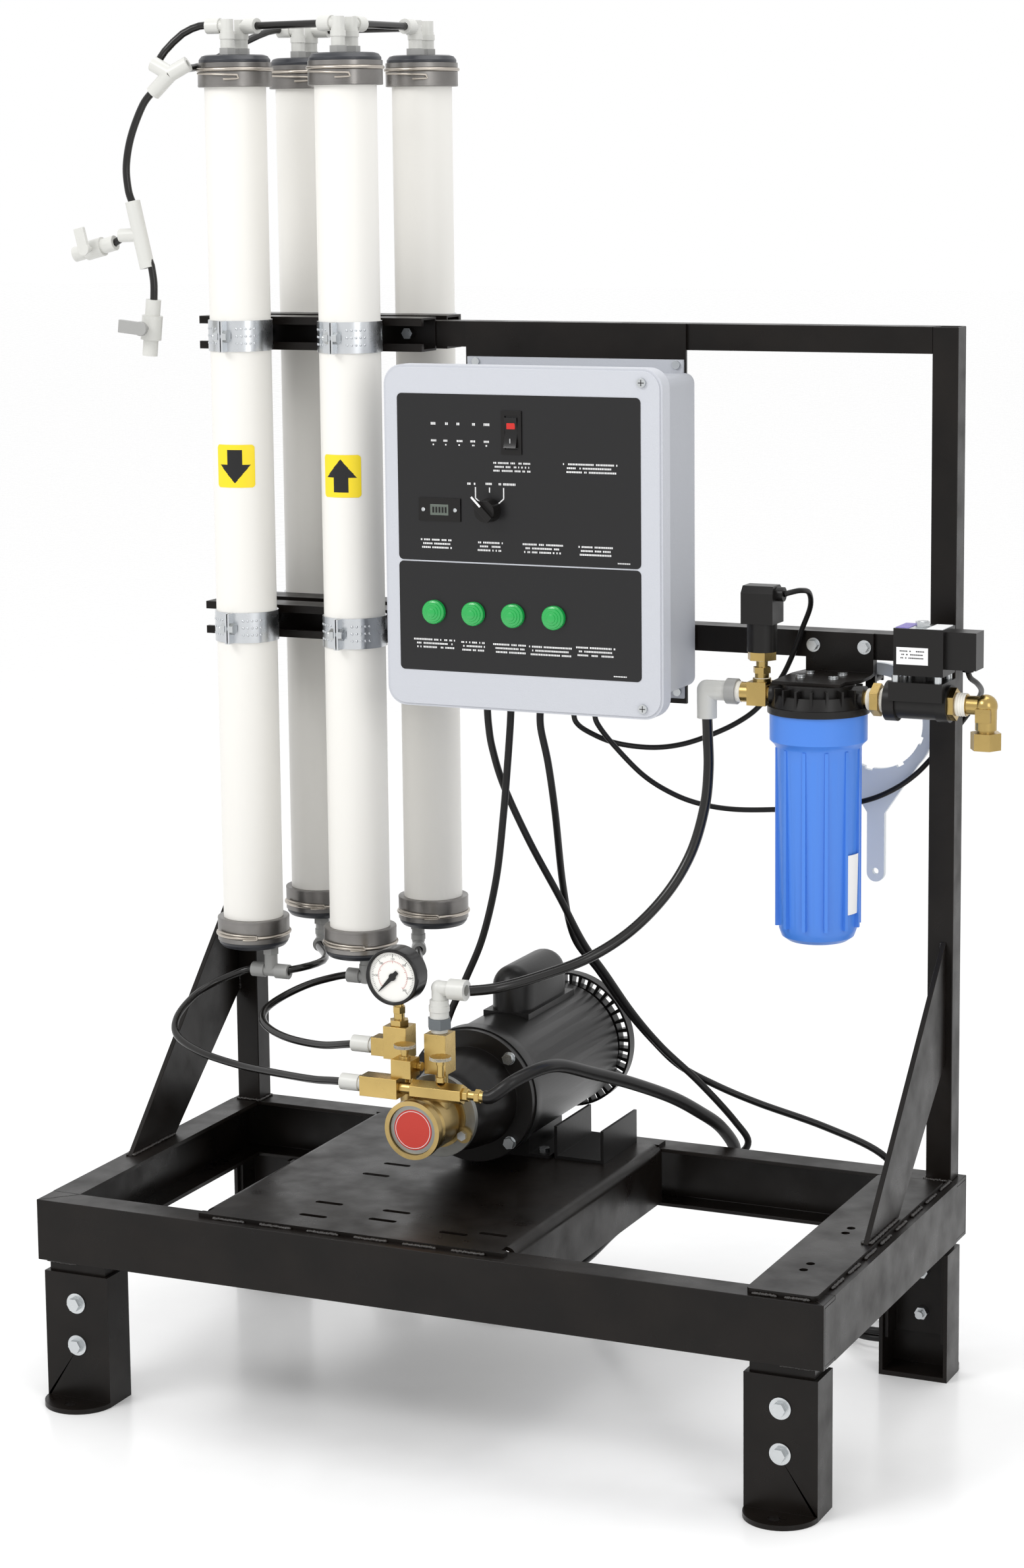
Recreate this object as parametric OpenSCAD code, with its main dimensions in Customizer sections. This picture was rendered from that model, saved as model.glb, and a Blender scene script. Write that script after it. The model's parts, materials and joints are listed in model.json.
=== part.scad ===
// Reverse osmosis unit on a welded stand. Millimetres. +X right along the
// front, +Y to the rear, +Z up. The origin is on the floor under the middle
// of the object's box.

/* [Base] */
// Length of the base frame along X
base_w = 996; // [990:1:1000]
// Depth of the base frame along Y
base_d = 521; // [517:1:523]
// Height of the base frame's top above the floor
base_top = 248.7; // [244:0.1:250]
// Height of the base channel
rail_h = 74.5; // [70:0.1:76]
// Flange width of the base channel
rail_fl = 38; // [32:1:40]
// Web and flange thickness of the base channel
rail_t = 4.8; // [4:0.1:5.5]
// Width of a leg's web
leg_w = 86.5; // [85:0.5:88]
// Flange depth of a leg
leg_fl = 48.6; // [46:0.1:50]
// Thickness of the deck plate
plate_t = 4.8; // [4:0.1:4.8]

/* [Frame] */
// Side of the square tube
tube_a = 31.5; // [30:0.1:31.7]
// Wall of the square tube
tube_t = 2.4; // [2:0.1:3]
// Top of the frame above the floor
frame_top = 1276.7; // [1270:0.1:1277]
// Height of the middle bar's top above the floor
mid_top = 912.3; // [911:0.1:913]

/* [Membrane housings] */
// Outer diameter of a housing
house_d = 76.2; // [74:0.2:76.2]
// Wall of a housing
house_t = 4; // [3:0.5:5]
// Outer diameter of a bell end
bell_d = 91.6; // [90:0.2:92]

/* [Enclosure] */
// Width of the enclosure box
box_w = 308; // [300:1:310]
// Height of the enclosure box
box_h = 380; // [370:1:382]
// Wall of the enclosure
box_t = 3.5; // [2.5:0.5:4]

/* [Filter] */
// Outer diameter of the sump's collar
sump_d = 115.4; // [112:0.2:116]
// Height of the sump below the head
sump_h = 272; // [260:1:274]

/* [Pump and motor] */
// Outer diameter of the motor shell
shell_d = 158; // [156:1:158]
// Height of the shaft above the floor
shaft_z = 343.6; // [343:0.1:344]

/* [Hidden] */
$fn = 48;
ox = -35; oy = -42;                 // moves the frame's own centre to the origin
e = 0.1;
hx = base_w/2; hy = base_d/2;
rb = base_top - rail_h;
yb0 = 223.4; yb1 = yb0 + tube_a;    // front and rear face of the upright tubes
ux0 = 458; ux1 = ux0 + tube_a;
dz = base_top;                      // deck underside
dt = base_top + plate_t;            // deck top
ax = -65; az = shaft_z;             // motor axis
hr = house_d/2; br = bell_d/2;
HP = [[-415,141],[-262,141],[-254,337],[-421,337]];
PO = [[24,0],[0,16],[-23,0],[12,-20]];   // each bottom port's offset
hz0 = 491; hz1 = 1595;              // ends of a housing
sz = [1261, 896.5];                 // strut heights
fx = 346; fy = 148;                 // filter axis
bx = 8;                             // enclosure's middle

module at(p) translate(p) children();
module rz(a) rotate([0,0,a]) children();
// cylinder along +X or +Y from a point
module cx(p,d,l) translate(p) rotate([0,90,0]) cylinder(d=d,h=l);
module cy(p,d,l) translate(p) rotate([-90,0,0]) cylinder(d=d,h=l);
module cz(p,d,l) translate(p) cylinder(d=d,h=l);
module hexz(p,af,l) translate(p) cylinder(d=af/cos(30),h=l,$fn=6);
module hexx(p,af,l) translate(p) rotate([0,90,0]) cylinder(d=af/cos(30),h=l,$fn=6);
module hexy(p,af,l) translate(p) rotate([-90,0,0]) cylinder(d=af/cos(30),h=l,$fn=6);
module bx3(a,b) translate(a) cube([b[0]-a[0],b[1]-a[1],b[2]-a[2]]);

// ---- swept tubes: a Catmull-Rom curve through the route's points
function cr(a,b,c,d,t) = 0.5*((2*b)+(c-a)*t+(2*a-5*b+4*c-d)*t*t+(3*b-a-3*c+d)*t*t*t);
function path(P,n) = let(m=len(P)) concat([for(i=[0:m-2]) for(k=[0:n-1])
   cr(P[max(i-1,0)],P[i],P[i+1],P[min(i+2,m-1)],k/n)],[P[m-1]]);
function unit(v) = v/norm(v);
function tans(Q) = [for(i=[0:len(Q)-1]) unit(Q[min(i+1,len(Q)-1)]-Q[max(i-1,0)])];
function nrm(T,n0,i=0,o=[]) = i==len(T) ? o : let(n=unit(n0-(n0*T[i])*T[i])) nrm(T,n,i+1,concat(o,[n]));
module sweep(P,d,s=8,n=2) {
  Q = path(P,n); T = tans(Q);
  n0 = abs(T[0][2])>0.8 ? [1,0,0] : [0,0,1];
  N = nrm(T,n0); m = len(Q);
  pts = [for(i=[0:m-1]) let(b=cross(T[i],N[i])) for(k=[0:s-1])
     Q[i]+d/2*(cos(360*k/s)*N[i]+sin(360*k/s)*b)];
  polyhedron(pts, concat([[for(k=[0:s-1]) k]],
     [for(i=[0:m-2]) for(k=[0:s-1]) each [[i*s+k,(i+1)*s+k,(i+1)*s+(k+1)%s],[i*s+k,(i+1)*s+(k+1)%s,i*s+(k+1)%s]]],
     [[for(k=[s-1:-1:0]) (m-1)*s+k]]), convexity=8);
}

// ---- routes of the tubes and cables
R_c1 = [[-443,124,1640],[-452,121,1640],[-472,114,1631],[-492,104,1610],[-497,96,1596],[-494,92,1590]];
R_c2 = [[-461,96,1587],[-466,118,1589],[-466,145,1592],[-461,186,1604],[-450,235,1624],[-446,285,1637],[-444,312,1640]];
R_c3 = [[-500,90,1563],[-517,90,1545],[-535,90,1507],[-543,90,1471],[-541,90,1441],[-535,90,1424]];
R_c4 = [[-546,90,1386],[-557,90,1379],[-570,90,1372]];
R_c5 = [[-511,90,1348],[-508,90,1326],[-509,90,1300]];
R_lo = [[-417,141,450],[-434,137,445],[-462,116,432],[-477,86,418],[-479,50,400],[-462,22,385],[-416,0,374],[-350,-20,369],[-274,-55,375],[-212,-88,383],[-178,-104,389],[-160,-112,392]];
R_li = [[-287,157,450],[-304,150,447],[-330,130,440],[-352,103,429],[-361,72,419],[-352,45,411],[-325,20,406],[-282,-8,406],[-224,-42,413],[-180,-66,424],[-156,-75,430]];
R_su = [[205,148,818],[206,148,790],[208,145,750],[206,137,705],[195,121,652],[173,98,605],[139,67,563],[99,30,534],[57,-20,519],[22,-58,511],[-8,-75,508]];
R_dr = [[28,-112,392.5],[35,-112,393.5],[43,-108,399],[58,-95,411],[74,-60,418],[84,-20,413],[100,38,391],[122,105,364],[146,175,331],[164,222,302],[178,262,273],[184,296,236],[165,312,212],[130,318,188],[60,330,145],[0,345,95],[-50,368,45],[-90,388,14],[-125,391,9]];
R_pw = [[-74,125,814],[-73,126,790],[-70,130,760],[-60,141,712],[-35,160,641],[-9,191,567],[8,225,503],[25,255,458],[47,293,399],[77,315,353],[122,330,308],[165,344,258],[182,348,228],[150,352,200],[80,356,165],[20,362,120],[-30,374,72],[-90,398,34],[-150,416,12],[-210,406,4.8],[-250,391,4.6],[-275,383,4.6],[-292,381,4.6]];
R_mo = [[-42,125,814],[-43,124,790],[-46,122,745],[-52,121,680],[-63,122,600],[-84,126,524],[-106,122,470],[-120,112,434],[-125,105,415]];
R_le = [[-3,125,814],[-3,126,790],[2,136,745],[2,156,679],[-9,203,578],[-13,245,504],[4,283,454],[27,321,395],[56,342,351],[90,345,322],[138,350,300],[198,345,284],[290,335,266],[368,322,244],[402,322,205],[418,326,150],[425,322,90],[425,318,40],[423,330,12],[420,350,4.6]];
R_ps = [[41,125,814],[43,128,800],[52,145,786],[76,170,770],[114,192,763],[150,206,767],[188,212,781],[221,212,798],[247,212,818],[274,212,852],[290,212,883],[302,212,915],[315,205,944],[320,186,963],[317,166,968],[309,152,967],[303,148,965]];
R_so = [[69,125,814],[71,128,800],[84,148,771],[111,174,732],[139,198,707],[170,214,693],[211,225,687],[266,235,689],[330,240,696],[376,243,707],[408,247,722],[432,251,740],[450,258,760],[470,266,786],[490,266,812],[508,250,834],[524,215,852],[530,180,866],[528,158,876],[528,148,885]];

// ================= base =================
module chan_x(l,h,f,t) rotate([90,0,90]) linear_extrude(l)
  difference() { square([f,h]); translate([t,t]) square([f,h-2*t]); }

module long_rails() color([0.09,0.075,0.065]) for(s=[0,1]) mirror([0,s,0])
  translate([-hx,-hy,rb]) chan_x(base_w,rail_h,rail_fl,rail_t);
module side_rail_shape() {
  k = hy - rail_fl - e;
  translate([-hx,k,rb]) rotate([0,0,-90]) chan_x(2*k,rail_h,rail_fl,rail_t);
  bx3([-hx,-hy+rail_t+e,rb+rail_t+e],[-hx+rail_t,hy-rail_t-e,base_top-rail_t-e]);
}
module side_rails() color([0.09,0.075,0.065]) for(s=[0,1]) mirror([s,0,0]) side_rail_shape();

px0 = -288; px1 = 115;
module slot2(l,w) { square([l-w,w],center=true); for(s=[-1,1]) translate([s*(l-w)/2,0]) circle(d=w); }
module pump_plate() color([0.1,0.085,0.075]) difference() {
  union() {
    // flat sheet over both rails
    bx3([px0+12,-245,dz],[px1-12,243,dt]);
    // folded sides between the rails
    for(s=[0,1]) translate([s*(px0+px1),0,0]) mirror([s,0,0])
      translate([0,hy-rail_fl-2,0]) rotate([90,0,0]) linear_extrude(2*(hy-rail_fl-2)) translate([px0,0]) union() {
        translate([12,dt-12]) difference() { circle(r=12); circle(r=12-plate_t);
          translate([0,-20]) square([20,40]); translate([-20,-20]) square([40,20]); }
        translate([0,rb+6]) square([plate_t,dt-12-rb-6]);
        translate([11.9,dt-plate_t]) square([1,plate_t]);
      }
    for(y=[-245,hy-rail_fl-1.9]) for(s=[0,1]) translate([s*(px0+px1),0,0]) mirror([s,0,0])
      bx3([px0+4,y,dz],[px0+12.1,y==-245?-hy+rail_fl+1.9-14:243,dt]);
  }
  for(p=[[-154,19],[-159,-29],[-159,-152],[-154,-203],[-70,-152],[-71,-187],[27,-200],[71,-186]])
    translate([p[0],p[1],dz-1]) linear_extrude(plate_t+2) slot2(36,8);
  for(s=[0,1]) translate([s*(px0+px1),0,0]) mirror([s,0,0]) cz([px0+4,-hy+rail_fl-5,dz-1],15,plate_t+2);
  for(x=[-127,-3]) for(y=[125,201]) cz([x,y,dz-1],9,plate_t+2);
}
module side_plate() color([0.11,0.095,0.085]) difference() {
  hull() for(x=[411,481]) for(y=[-246,198]) cz([x,y,base_top],12,6);
  for(y=[-9.5,-29,-148,-171]) cz([443,y,base_top-1],10,8);
}

lx = hx - 7 - leg_w;                 // inner edge of a leg
function legs_at() = [[-1,-1],[1,-1],[-1,1],[1,1]];
module leg1() {
  // channel, web outward, and the foot plate with a round nose
  y0 = -hy + 2.5;
  difference() {
    bx3([lx,y0,6],[lx+leg_w,y0+leg_fl,161]);
    bx3([lx+rail_t,y0+rail_t,5],[lx+leg_w-rail_t,y0+leg_fl+1,170]);
    for(z=[72.8,125]) cy([lx+leg_w/2,y0-1,z],10.4,8);
  }
  difference() {
    union() { bx3([lx,y0,0],[lx+leg_w,y0+leg_fl,6]); cz([lx+leg_w/2,y0+4,0],leg_w,6); }
    bx3([lx-1,y0+leg_fl,-1],[lx+leg_w+1,y0+leg_fl+60,8]);
    cz([lx+leg_w/2,y0-20,-1],14,8);
  }
}
module legs() color([0.085,0.07,0.06]) for(s=legs_at()) mirror([s[0]<0?1:0,0,0]) mirror([0,s[1]>0?1:0,0]) leg1();
module leg_stubs() color([0.085,0.07,0.06]) for(s=legs_at()) mirror([s[0]<0?1:0,0,0]) mirror([0,s[1]>0?1:0,0]) {
  y0 = -hy + 2.5 + rail_t + e; x0 = lx+rail_t+0.4; w = leg_w-2*rail_t-0.8;
  difference() {
    bx3([x0,y0,46],[x0+w,y0+38,rb]);
    bx3([x0+rail_t,y0+rail_t,45],[x0+w-rail_t,y0+60,rb+1]);
    for(z=[72.8,125]) cy([lx+leg_w/2,y0-1,z],10.4,8);
  }
}
// hexagon flange bolt along +Y, head at the front, with its nut as a second solid
module bolt_y(p,grip,d=9.5,af=14.3,wd=25) {
  hexy([p[0],p[1]-1.8-7,p[2]],af,7.05);
  cy([p[0],p[1]-1.8,p[2]],wd,1.75);
  cy([p[0],p[1]-0.1,p[2]],d,grip+16);
}
module nut_y(p,d=9.5,af=14.3) difference() { hexy(p,af,8); cy([p[0],p[1]-1,p[2]],d+0.2,10); }

// ================= back frame =================
module box_tube(a,b,ax_) difference() {
  bx3(a,b);
  bx3([a[0]+(ax_==0?-1:tube_t),a[1]+tube_t,a[2]+(ax_==2?-1:tube_t)],[b[0]+(ax_==0?1:-tube_t),b[1]-tube_t,b[2]+(ax_==2?1:-tube_t)]);
}
module uprights() color([0.085,0.07,0.06]) for(s=[0,1]) mirror([s,0,0]) difference() {
  box_tube([ux0,yb0,base_top],[ux1,yb1,frame_top],2);
}
module cross_bars() color([0.085,0.07,0.06]) difference() {
  for(z=[frame_top,mid_top]) box_tube([-ux0,yb0,z-tube_a],[ux0,yb1,z],0);
  for(x=[315,379]) cy([x,yb0-1,896.5],6.6,40);
  for(x=[-420,-220]) for(z=[frame_top-tube_a/2,mid_top-tube_a/2]) cy([x,yb0-1,z],9,40);
}
module gusset1(x,t,zb) translate([x,0,0]) rotate([90,0,90]) linear_extrude(t)
  polygon([[-62,zb],[48,zb],[yb0,398],[yb0,545]]);
module gussets() color([0.09,0.075,0.065]) { gusset1(-490,6.35,base_top); gusset1(475,6.35,base_top+6); }
module panel_plate() color([0.09,0.075,0.065]) difference() {
  bx3([-141,yb0-4.8,815],[151,yb0,1277]);
  for(x=[bx-133,bx+133]) for(z=[830,1228]) cy([x,yb0-6,z],5.2,8);
}

// ================= struts and clamps =================
sx0 = -497; sx1 = -184;
module strut1(z,y,d) translate([sx0,y,z]) mirror([0,d,0]) rotate([90,0,90]) linear_extrude(sx1-sx0) difference() {
  translate([-41.2,-20.65]) square([41.2,41.3]);
  translate([-41.2-1,-18]) square([41.2-2.6+1,36]);
}
module strut_lip(z,y,d) translate([sx0,y,z]) mirror([0,d,0]) rotate([90,0,90]) linear_extrude(sx1-sx0)
  for(s=[-1,1]) translate([-41.2,s>0?11:-20.65]) square([6.4,9.65]);
module struts() color([0.075,0.062,0.055]) difference() {
  for(z=sz) { union() { strut1(z,yb0,0); strut_lip(z,yb0,0); }
              union() { strut1(z,yb1,1); strut_lip(z,yb1,1); } }
  for(z=sz) for(x=[-420,-220]) { cy([x,yb0-8,z==sz[0]?frame_top-tube_a/2:mid_top-tube_a/2],9,20); cy([x,yb1-8,z==sz[0]?frame_top-tube_a/2:mid_top-tube_a/2],9,20); }
}
// one half strap: round the tube, an ear at the front and a leg into the strut
module strap2(dirs) {
  r = hr+0.15; t = 1.9; w = dirs*(yb0-41.2-141);   // distance from tube centre to the strut's slot
  translate([0,0,-19]) linear_extrude(38) difference() {
    union() {
      difference() { circle(r=r+t); circle(r=r); translate([-60,-60]) square([60.8,120]); rotate(62) translate([0,-3]) square([60,26]); }
      // ear
      translate([0.8,-r-13]) square([2.2,14.5]);
      // leg bent to the slot, with a shoulder behind the lip
      polygon([[cos(62)*(r+0.1)-0.2,sin(62)*(r+0.1)],[cos(62)*(r+t),sin(62)*(r+t)-0.8],[10.4,w+2],[10.4,w+10],[8.6,w+10],[8.6,w+1.2]]);
    }
  }
}
module clampset(p,z,dirs) translate([p[0],p[1],z]) mirror([0,dirs<0?1:0,0]) for(s=[0,1]) mirror([s,0,0]) difference() {
  strap_half(dirs);
  cx([-1,-hr-9,0],8.4,8);
}
module strap_half(dirs) {
  r = hr+0.15; t = 1.9;
  w = dirs>0 ? yb0-41.2-141 : 337-(yb1+41.2);
  translate([0,0,-19]) linear_extrude(38) union() {
    difference() { circle(r=r+t); circle(r=r); translate([-60,-60]) square([60.8,120]); rotate(66) square([60,60]); }
    translate([0.8,-r-14]) square([2.2,14]);
    polygon([[cos(65)*r,sin(65)*r],[cos(65)*(r+t),sin(65)*(r+t)],[10.6,w-2],[10.6,w-0.2],[8.6,w-0.2],[8.6,w-2.6]]);
  }
  // narrow tongue through the strut's slot
  translate([8.6,w-0.4,-10.7]) cube([2,6.4,21.4]);
}
module tube_clamps() color([0.72,0.73,0.74]) for(i=[0:3]) for(z=sz) clampset(HP[i],z,HP[i][1]<200?1:-1);

// ================= membrane housings =================
module housing(p) translate([p[0],p[1],0]) difference() {
  union() { cz([0,0,hz0],house_d,hz1-hz0);
    for(z=[hz0,hz1-29.4]) rotate(0) cz([0,0,z],bell_d,29.4); }
  cz([0,0,hz0-1],house_d-2*house_t,hz1-hz0+2);
  // relief between the tube and the bell's lip
  for(z=[hz0+23.4,hz1-31]) difference() { cz([0,0,z],bell_d-5,7.6); cz([0,0,z-1],house_d,10); }
  // seat for the end plug
  for(z=[hz0-1,hz1-14]) cz([0,0,z],house_d+0.2,15);
  // groove for the retaining ring
  for(z=[hz0+8.5,hz1-8.5]) translate([0,0,z]) rotate_extrude() translate([bell_d/2,0]) circle(d=5);
}
module housing_tubes() color([0.93,0.92,0.9]) for(p=HP) housing(p);
module plug1(top) {
  // body in the seat and a domed cap outside
  rotate_extrude() polygon([[0,-13.5],[hr-0.05,-13.5],[hr-0.05,0.05],[br-1.6,0.05],[br-1.6,3.5],[br-5,8],[br-10,9.5],[0,9.5]]);
}
module end_plugs() color([0.1,0.1,0.115]) for(i=[0:3]) {
  translate([HP[i][0],HP[i][1],hz1]) difference() { plug1(true); for(s=[-1,1]) cz([0,s*17.5,-20],13,40); }
  translate([HP[i][0],HP[i][1],hz0]) mirror([0,0,1]) difference() { plug1(false); cz([PO[i][0],PO[i][1],-20],13,40); }
}
module retaining_rings() color([0.55,0.5,0.46]) for(p=HP) for(z=[hz0+8.5,hz1-8.5]) translate([p[0],p[1],z]) difference() {
  rotate_extrude() translate([bell_d/2,0]) circle(d=4.6);
  rotate(40) translate([0,-1.5,-10]) cube([80,3,20]);
}
module membranes() color([0.85,0.87,0.88]) for(p=HP) translate([p[0],p[1],0]) difference() {
  cz([0,0,hz0+40],64,hz1-hz0-80);
  cz([0,0,hz0+39],17,hz1-hz0-78);
}

// push-fit elbow: stem up from z=0, mouth along the direction a at height h
module elbow_fit(h,a,l=30,od=19) rz(a) {
  cz([0,0,-9],12.9,9.2);
  hexz([0,0,0.1],19,8);
  cz([0,0,8],17,h-14); cz([0,0,h-16],od,7);
  cz([0,0,h-10],16,18);
  difference() { union() { cx([0,0,h],14.6,12); cx([9,0,h],od,l-9); } cx([l-16,0,h],9.7,17); }
}
module membrane_fittings() {
  // top: white elbows, the front port and the rear port of each housing
  color([0.93,0.93,0.91]) {
    for(i=[0:3]) for(k=[0,1]) translate([HP[i][0],HP[i][1]+(k==0?-17.5:17.5),hz1+9.6])
      elbow_fit(35, TOPA[i][k], 27);
  }
  color([0.55,0.55,0.54]) for(i=[0:3]) translate([HP[i][0]+PO[i][0],HP[i][1]+PO[i][1],hz0-9.6]) mirror([0,0,1]) {
    if(i==0) tee_fit(31.5); else elbow_fit(31.5, BOTA[i], 26);
  }
}
// direction from one top port to the next, for the jumpers
function dirto(a,b) = atan2(b[1]-a[1],b[0]-a[0]);
tp = [for(i=[0:3]) [[HP[i][0],HP[i][1]-17.5],[HP[i][0],HP[i][1]+17.5]]];
JA1 = dirto(tp[0][1],tp[1][0]); JB1 = JA1+180;
JA2 = dirto(tp[1][1],tp[2][0]); JB2 = JA2+180;
JC1 = dirto(tp[3][1],tp[2][1]); JC2 = JC1+180;
TOPA = [[180,JA1],[JB1,JA2],[JB2,JC2],[180,JC1]];
BOTA = [0,180,-62,-70];
module tee_fit(h) {
  cz([0,0,-9],12.9,9.2); hexz([0,0,0.1],19,9); cz([0,0,9],17,h-10);
  difference() { union() { cx([-26,0,h],19,18); cx([-10,0,h],15,20); cx([8,0,h],19,18); } for(s=[-1,1]) cx([s>0?10:-27,0,h],9.7,17); }
}
module jump(a,b) sweep([[a[0],a[1],hz1+44.6],[a[0]+(b[0]-a[0])/3,a[1]+(b[1]-a[1])/3,hz1+44.6],[b[0]-(b[0]-a[0])/3,b[1]-(b[1]-a[1])/3,hz1+44.6],[b[0],b[1],hz1+44.6]],9.4,12,2);
function along(a,b,d) = a+d*unit(b-a);
module link_tubes() color([0.06,0.055,0.05]) {
  jump(along(tp[0][1],tp[1][0],12),along(tp[1][0],tp[0][1],12));
  jump(along(tp[1][1],tp[2][0],12),along(tp[2][0],tp[1][1],12));
  jump(along(tp[3][1],tp[2][1],12),along(tp[2][1],tp[3][1],12));
  sweep(R_c1,9.4,12,2);
  sweep(R_c2,9.4,12,2);
  // bottom links between the housings
  sweep([[-377,141,450],[-362,143,453],[-345,158,456],[-342,190,456],[-362,235,452],[-387,270,450],[-399,287,450],[-402.2,296.6,450]],9.4,12,2);
  sweep([[-271.5,324.2,450],[-263,308,450],[-243,272,447],[-218,232,444],[-206,196,444],[-212,168,447],[-226,157,449.8],[-240,157,450]],9.4,12,2);
}

// ================= enclosure =================
bz0 = 838; bz1 = bz0+box_h; bx0 = bx-box_w/2; bx1 = bx+box_w/2; byf = 75.5; byr = yb0-4.8;
cx0 = bx-180; cx1 = bx+180; cz0 = 822; cz1 = 1234;
gland_x = [-74,-42,-3,41,69];
module rbox(x0,x1,z0,z1,y0,y1,r) translate([0,y1,0]) rotate([90,0,0]) linear_extrude(y1-y0)
  hull() for(x=[x0+r,x1-r]) for(z=[z0+r,z1-r]) translate([x,z]) circle(r=r,$fn=32);
module enclosure_box() color([0.62,0.63,0.65]) difference() {
  union() {
    rbox(bx0,bx1,bz0,bz1,byf+1,byr,12);
    rbox(bx0-16,bx1+16,bz0-8,bz1+8,byf,byf+4,20);
    // mounting ears
    for(z=[bz0-16,bz1-4]) bx3([bx-145,byr-5,z],[bx+141,byr,z+20]);
    // hinge knuckles on the left edge
    for(z=[872,1150]) for(k=[0,28]) { cz([hgx,hgy,z+k],8,12); bx3([hgx,hgy-1,z+k],[bx0-15,hgy+3,z+k+12]); }
  }
  rbox(bx0+box_t,bx1-box_t,bz0+box_t,bz1-box_t,byf-1,byr-box_t,9);
  for(x=[bx-133,bx+133]) for(z=[830,1228]) cy([x,byr-8,z],5.2,10);
  for(x=gland_x) cz([x,125,bz0-1],16.2,6);
  for(z=[872,1150]) cz([hgx,hgy,z-1],4.1,42);
}
hgx = -178; hgy = 79;
module enclosure_cover() color([0.8,0.81,0.83]) difference() {
  union() {
    rbox(cx0,cx1,cz0,cz1,52,75,24);
    rbox(cx0+3,cx1-3,cz0+3,cz1-3,50,53,22);
    for(z=[872,1150]) { cz([hgx,hgy,z+12.2],8,15.6); bx3([hgx,hgy-8,z+12.2],[cx0+2,hgy-4+3.9,z+27.8]); }
  }
  rbox(cx0+3.5,cx1-3.5,cz0+3.5,cz1-3.5,54,76,21);
  bx3([-14,49,1133],[8,56,1178.6]);                       // rocker
  cy([-32.5,49,1063],22.2,6);                             // selector
  bx3([-122,49,1050.5],[-74,56,1072.5]);                  // hour meter
  for(x=[-107,-55,-3,50]) cy([x,49,938],22.2,6);          // lamps
  for(z=[835,1217.5]) cy([163,49,z],6.2,6);
  for(z=[872,1150]) cz([hgx,hgy,z-1],4.1,42);
}
module hinge_pins() for(z=[872,1150]) cz([hgx,hgy,z-2],4,44);

module control_chassis() {
  color([0.75,0.76,0.77]) difference() { bx3([bx-132,byr-box_t-8,860],[bx+132,byr-box_t-6,1196]); for(x=[bx-120,bx+120]) for(z=[872,1184]) cy([x,200,z],4.2,20); }
  // stand-offs under the back plate
  color("silver") for(x=[bx-120,bx+120]) for(z=[872,1184]) cy([x,byr-box_t-6,z],10,5.9);
  // circuit board, contactor, terminal strip and transformer on the plate
  color([0.1,0.35,0.15]) bx3([bx-115,byr-box_t-18,1020],[bx+20,byr-box_t-16.4,1150]);
  color("silver") for(x=[bx-108,bx+13]) for(z=[1027,1143]) cy([x,byr-box_t-16.4,z],6,8.3);
  color([0.9,0.9,0.88]) bx3([bx+40,byr-box_t-78,1050],[bx+85,byr-box_t-8.1,1125]);
  color([0.12,0.12,0.12]) bx3([bx-110,byr-box_t-38,890],[bx+60,byr-box_t-8.1,915]);
  color([0.3,0.3,0.32]) bx3([bx-70,byr-box_t-50,945],[bx-20,byr-box_t-8.1,990]);
}
module door_instruments() {
  // hour meter
  color([0.12,0.12,0.12]) { bx3([-125.5,47.4,1047.8],[-70.5,49.9,1075.4]); bx3([-121.6,49.8,1050.9],[-74.4,80,1072.1]); }
  // pilot lamps: bezel, lens and body
  for(x=[-107,-55,-3,50]) { color([0.15,0.45,0.2]) { cy([x,44,938],28,5.9); cy([x,49.8,938],21.8,45); } color("black") difference() { cy([x,54.2,938],27,5); cy([x,53,938],22.1,8); } }
  // selector's bush behind the knob
  color("black") difference() { cy([-32.5,54.2,1063],28,40); cy([-32.5,50,1063],10.1,50); }
  // rocker frame
  color("black") difference() { bx3([-16.2,47.6,1130],[10.2,49.9,1181.6]); bx3([-11.2,46,1136],[5.2,52,1175.6]); }
  color("black") difference() { bx3([-13.8,49.8,1133.2],[7.8,84,1178.4]); bx3([-11.2,46,1136],[5.2,72,1175.6]); cx([-13,61,1155.8],3.1,20); }
  // corner screws
  color("silver") for(z=[835,1217.5]) { cy([163,47.2,z],11,2.7); cy([163,49.8,z],6,16); }
  color("silver") hinge_pins();
}
module rocker_switch() color([0.75,0.12,0.1]) {
  // paddle on a cross pin
  difference() {
    union() { translate([0,0,1155.8]) rotate([0,90,0]) translate([0,0,-11]) linear_extrude(16)
      polygon([[-17.5,50],[-17.8,45.4],[0,48.2],[17.8,42.6],[17.5,50],[10,58],[0,64.5],[-10,58]]);
    }
  }
  cx([-12.9,61,1155.8],3,19.8);
}
module selector_knob() color([0.1,0.1,0.1]) translate([-32.5,0,1063]) {
  rotate([-90,0,0]) translate([0,0,32]) cylinder(d1=26,d2=29,h=17.8,$fn=48);
  cy([0,49.7,0],10,44);
  rotate([0,-45,0]) translate([-4,26,-14]) cube([8,8,28]);
}
module cable_glands() color([0.07,0.07,0.07]) for(x=gland_x) {
  translate([x,125,0]) difference() {
    union() { cz([0,0,bz0-5.1],16,16); hexz([0,0,bz0-6],22,5.9); cz([0,0,bz0-18],20,12.1);
      translate([0,0,bz0-24]) cylinder(d1=13,d2=19,h=6.1); }
    cz([0,0,bz0-30],x<0?9.2:6.8,60);
  }
  translate([x,125,bz0+box_t+0.1]) difference() { hexz([0,0,0],22,5); cz([0,0,-1],16.1,8); }
}

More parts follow.
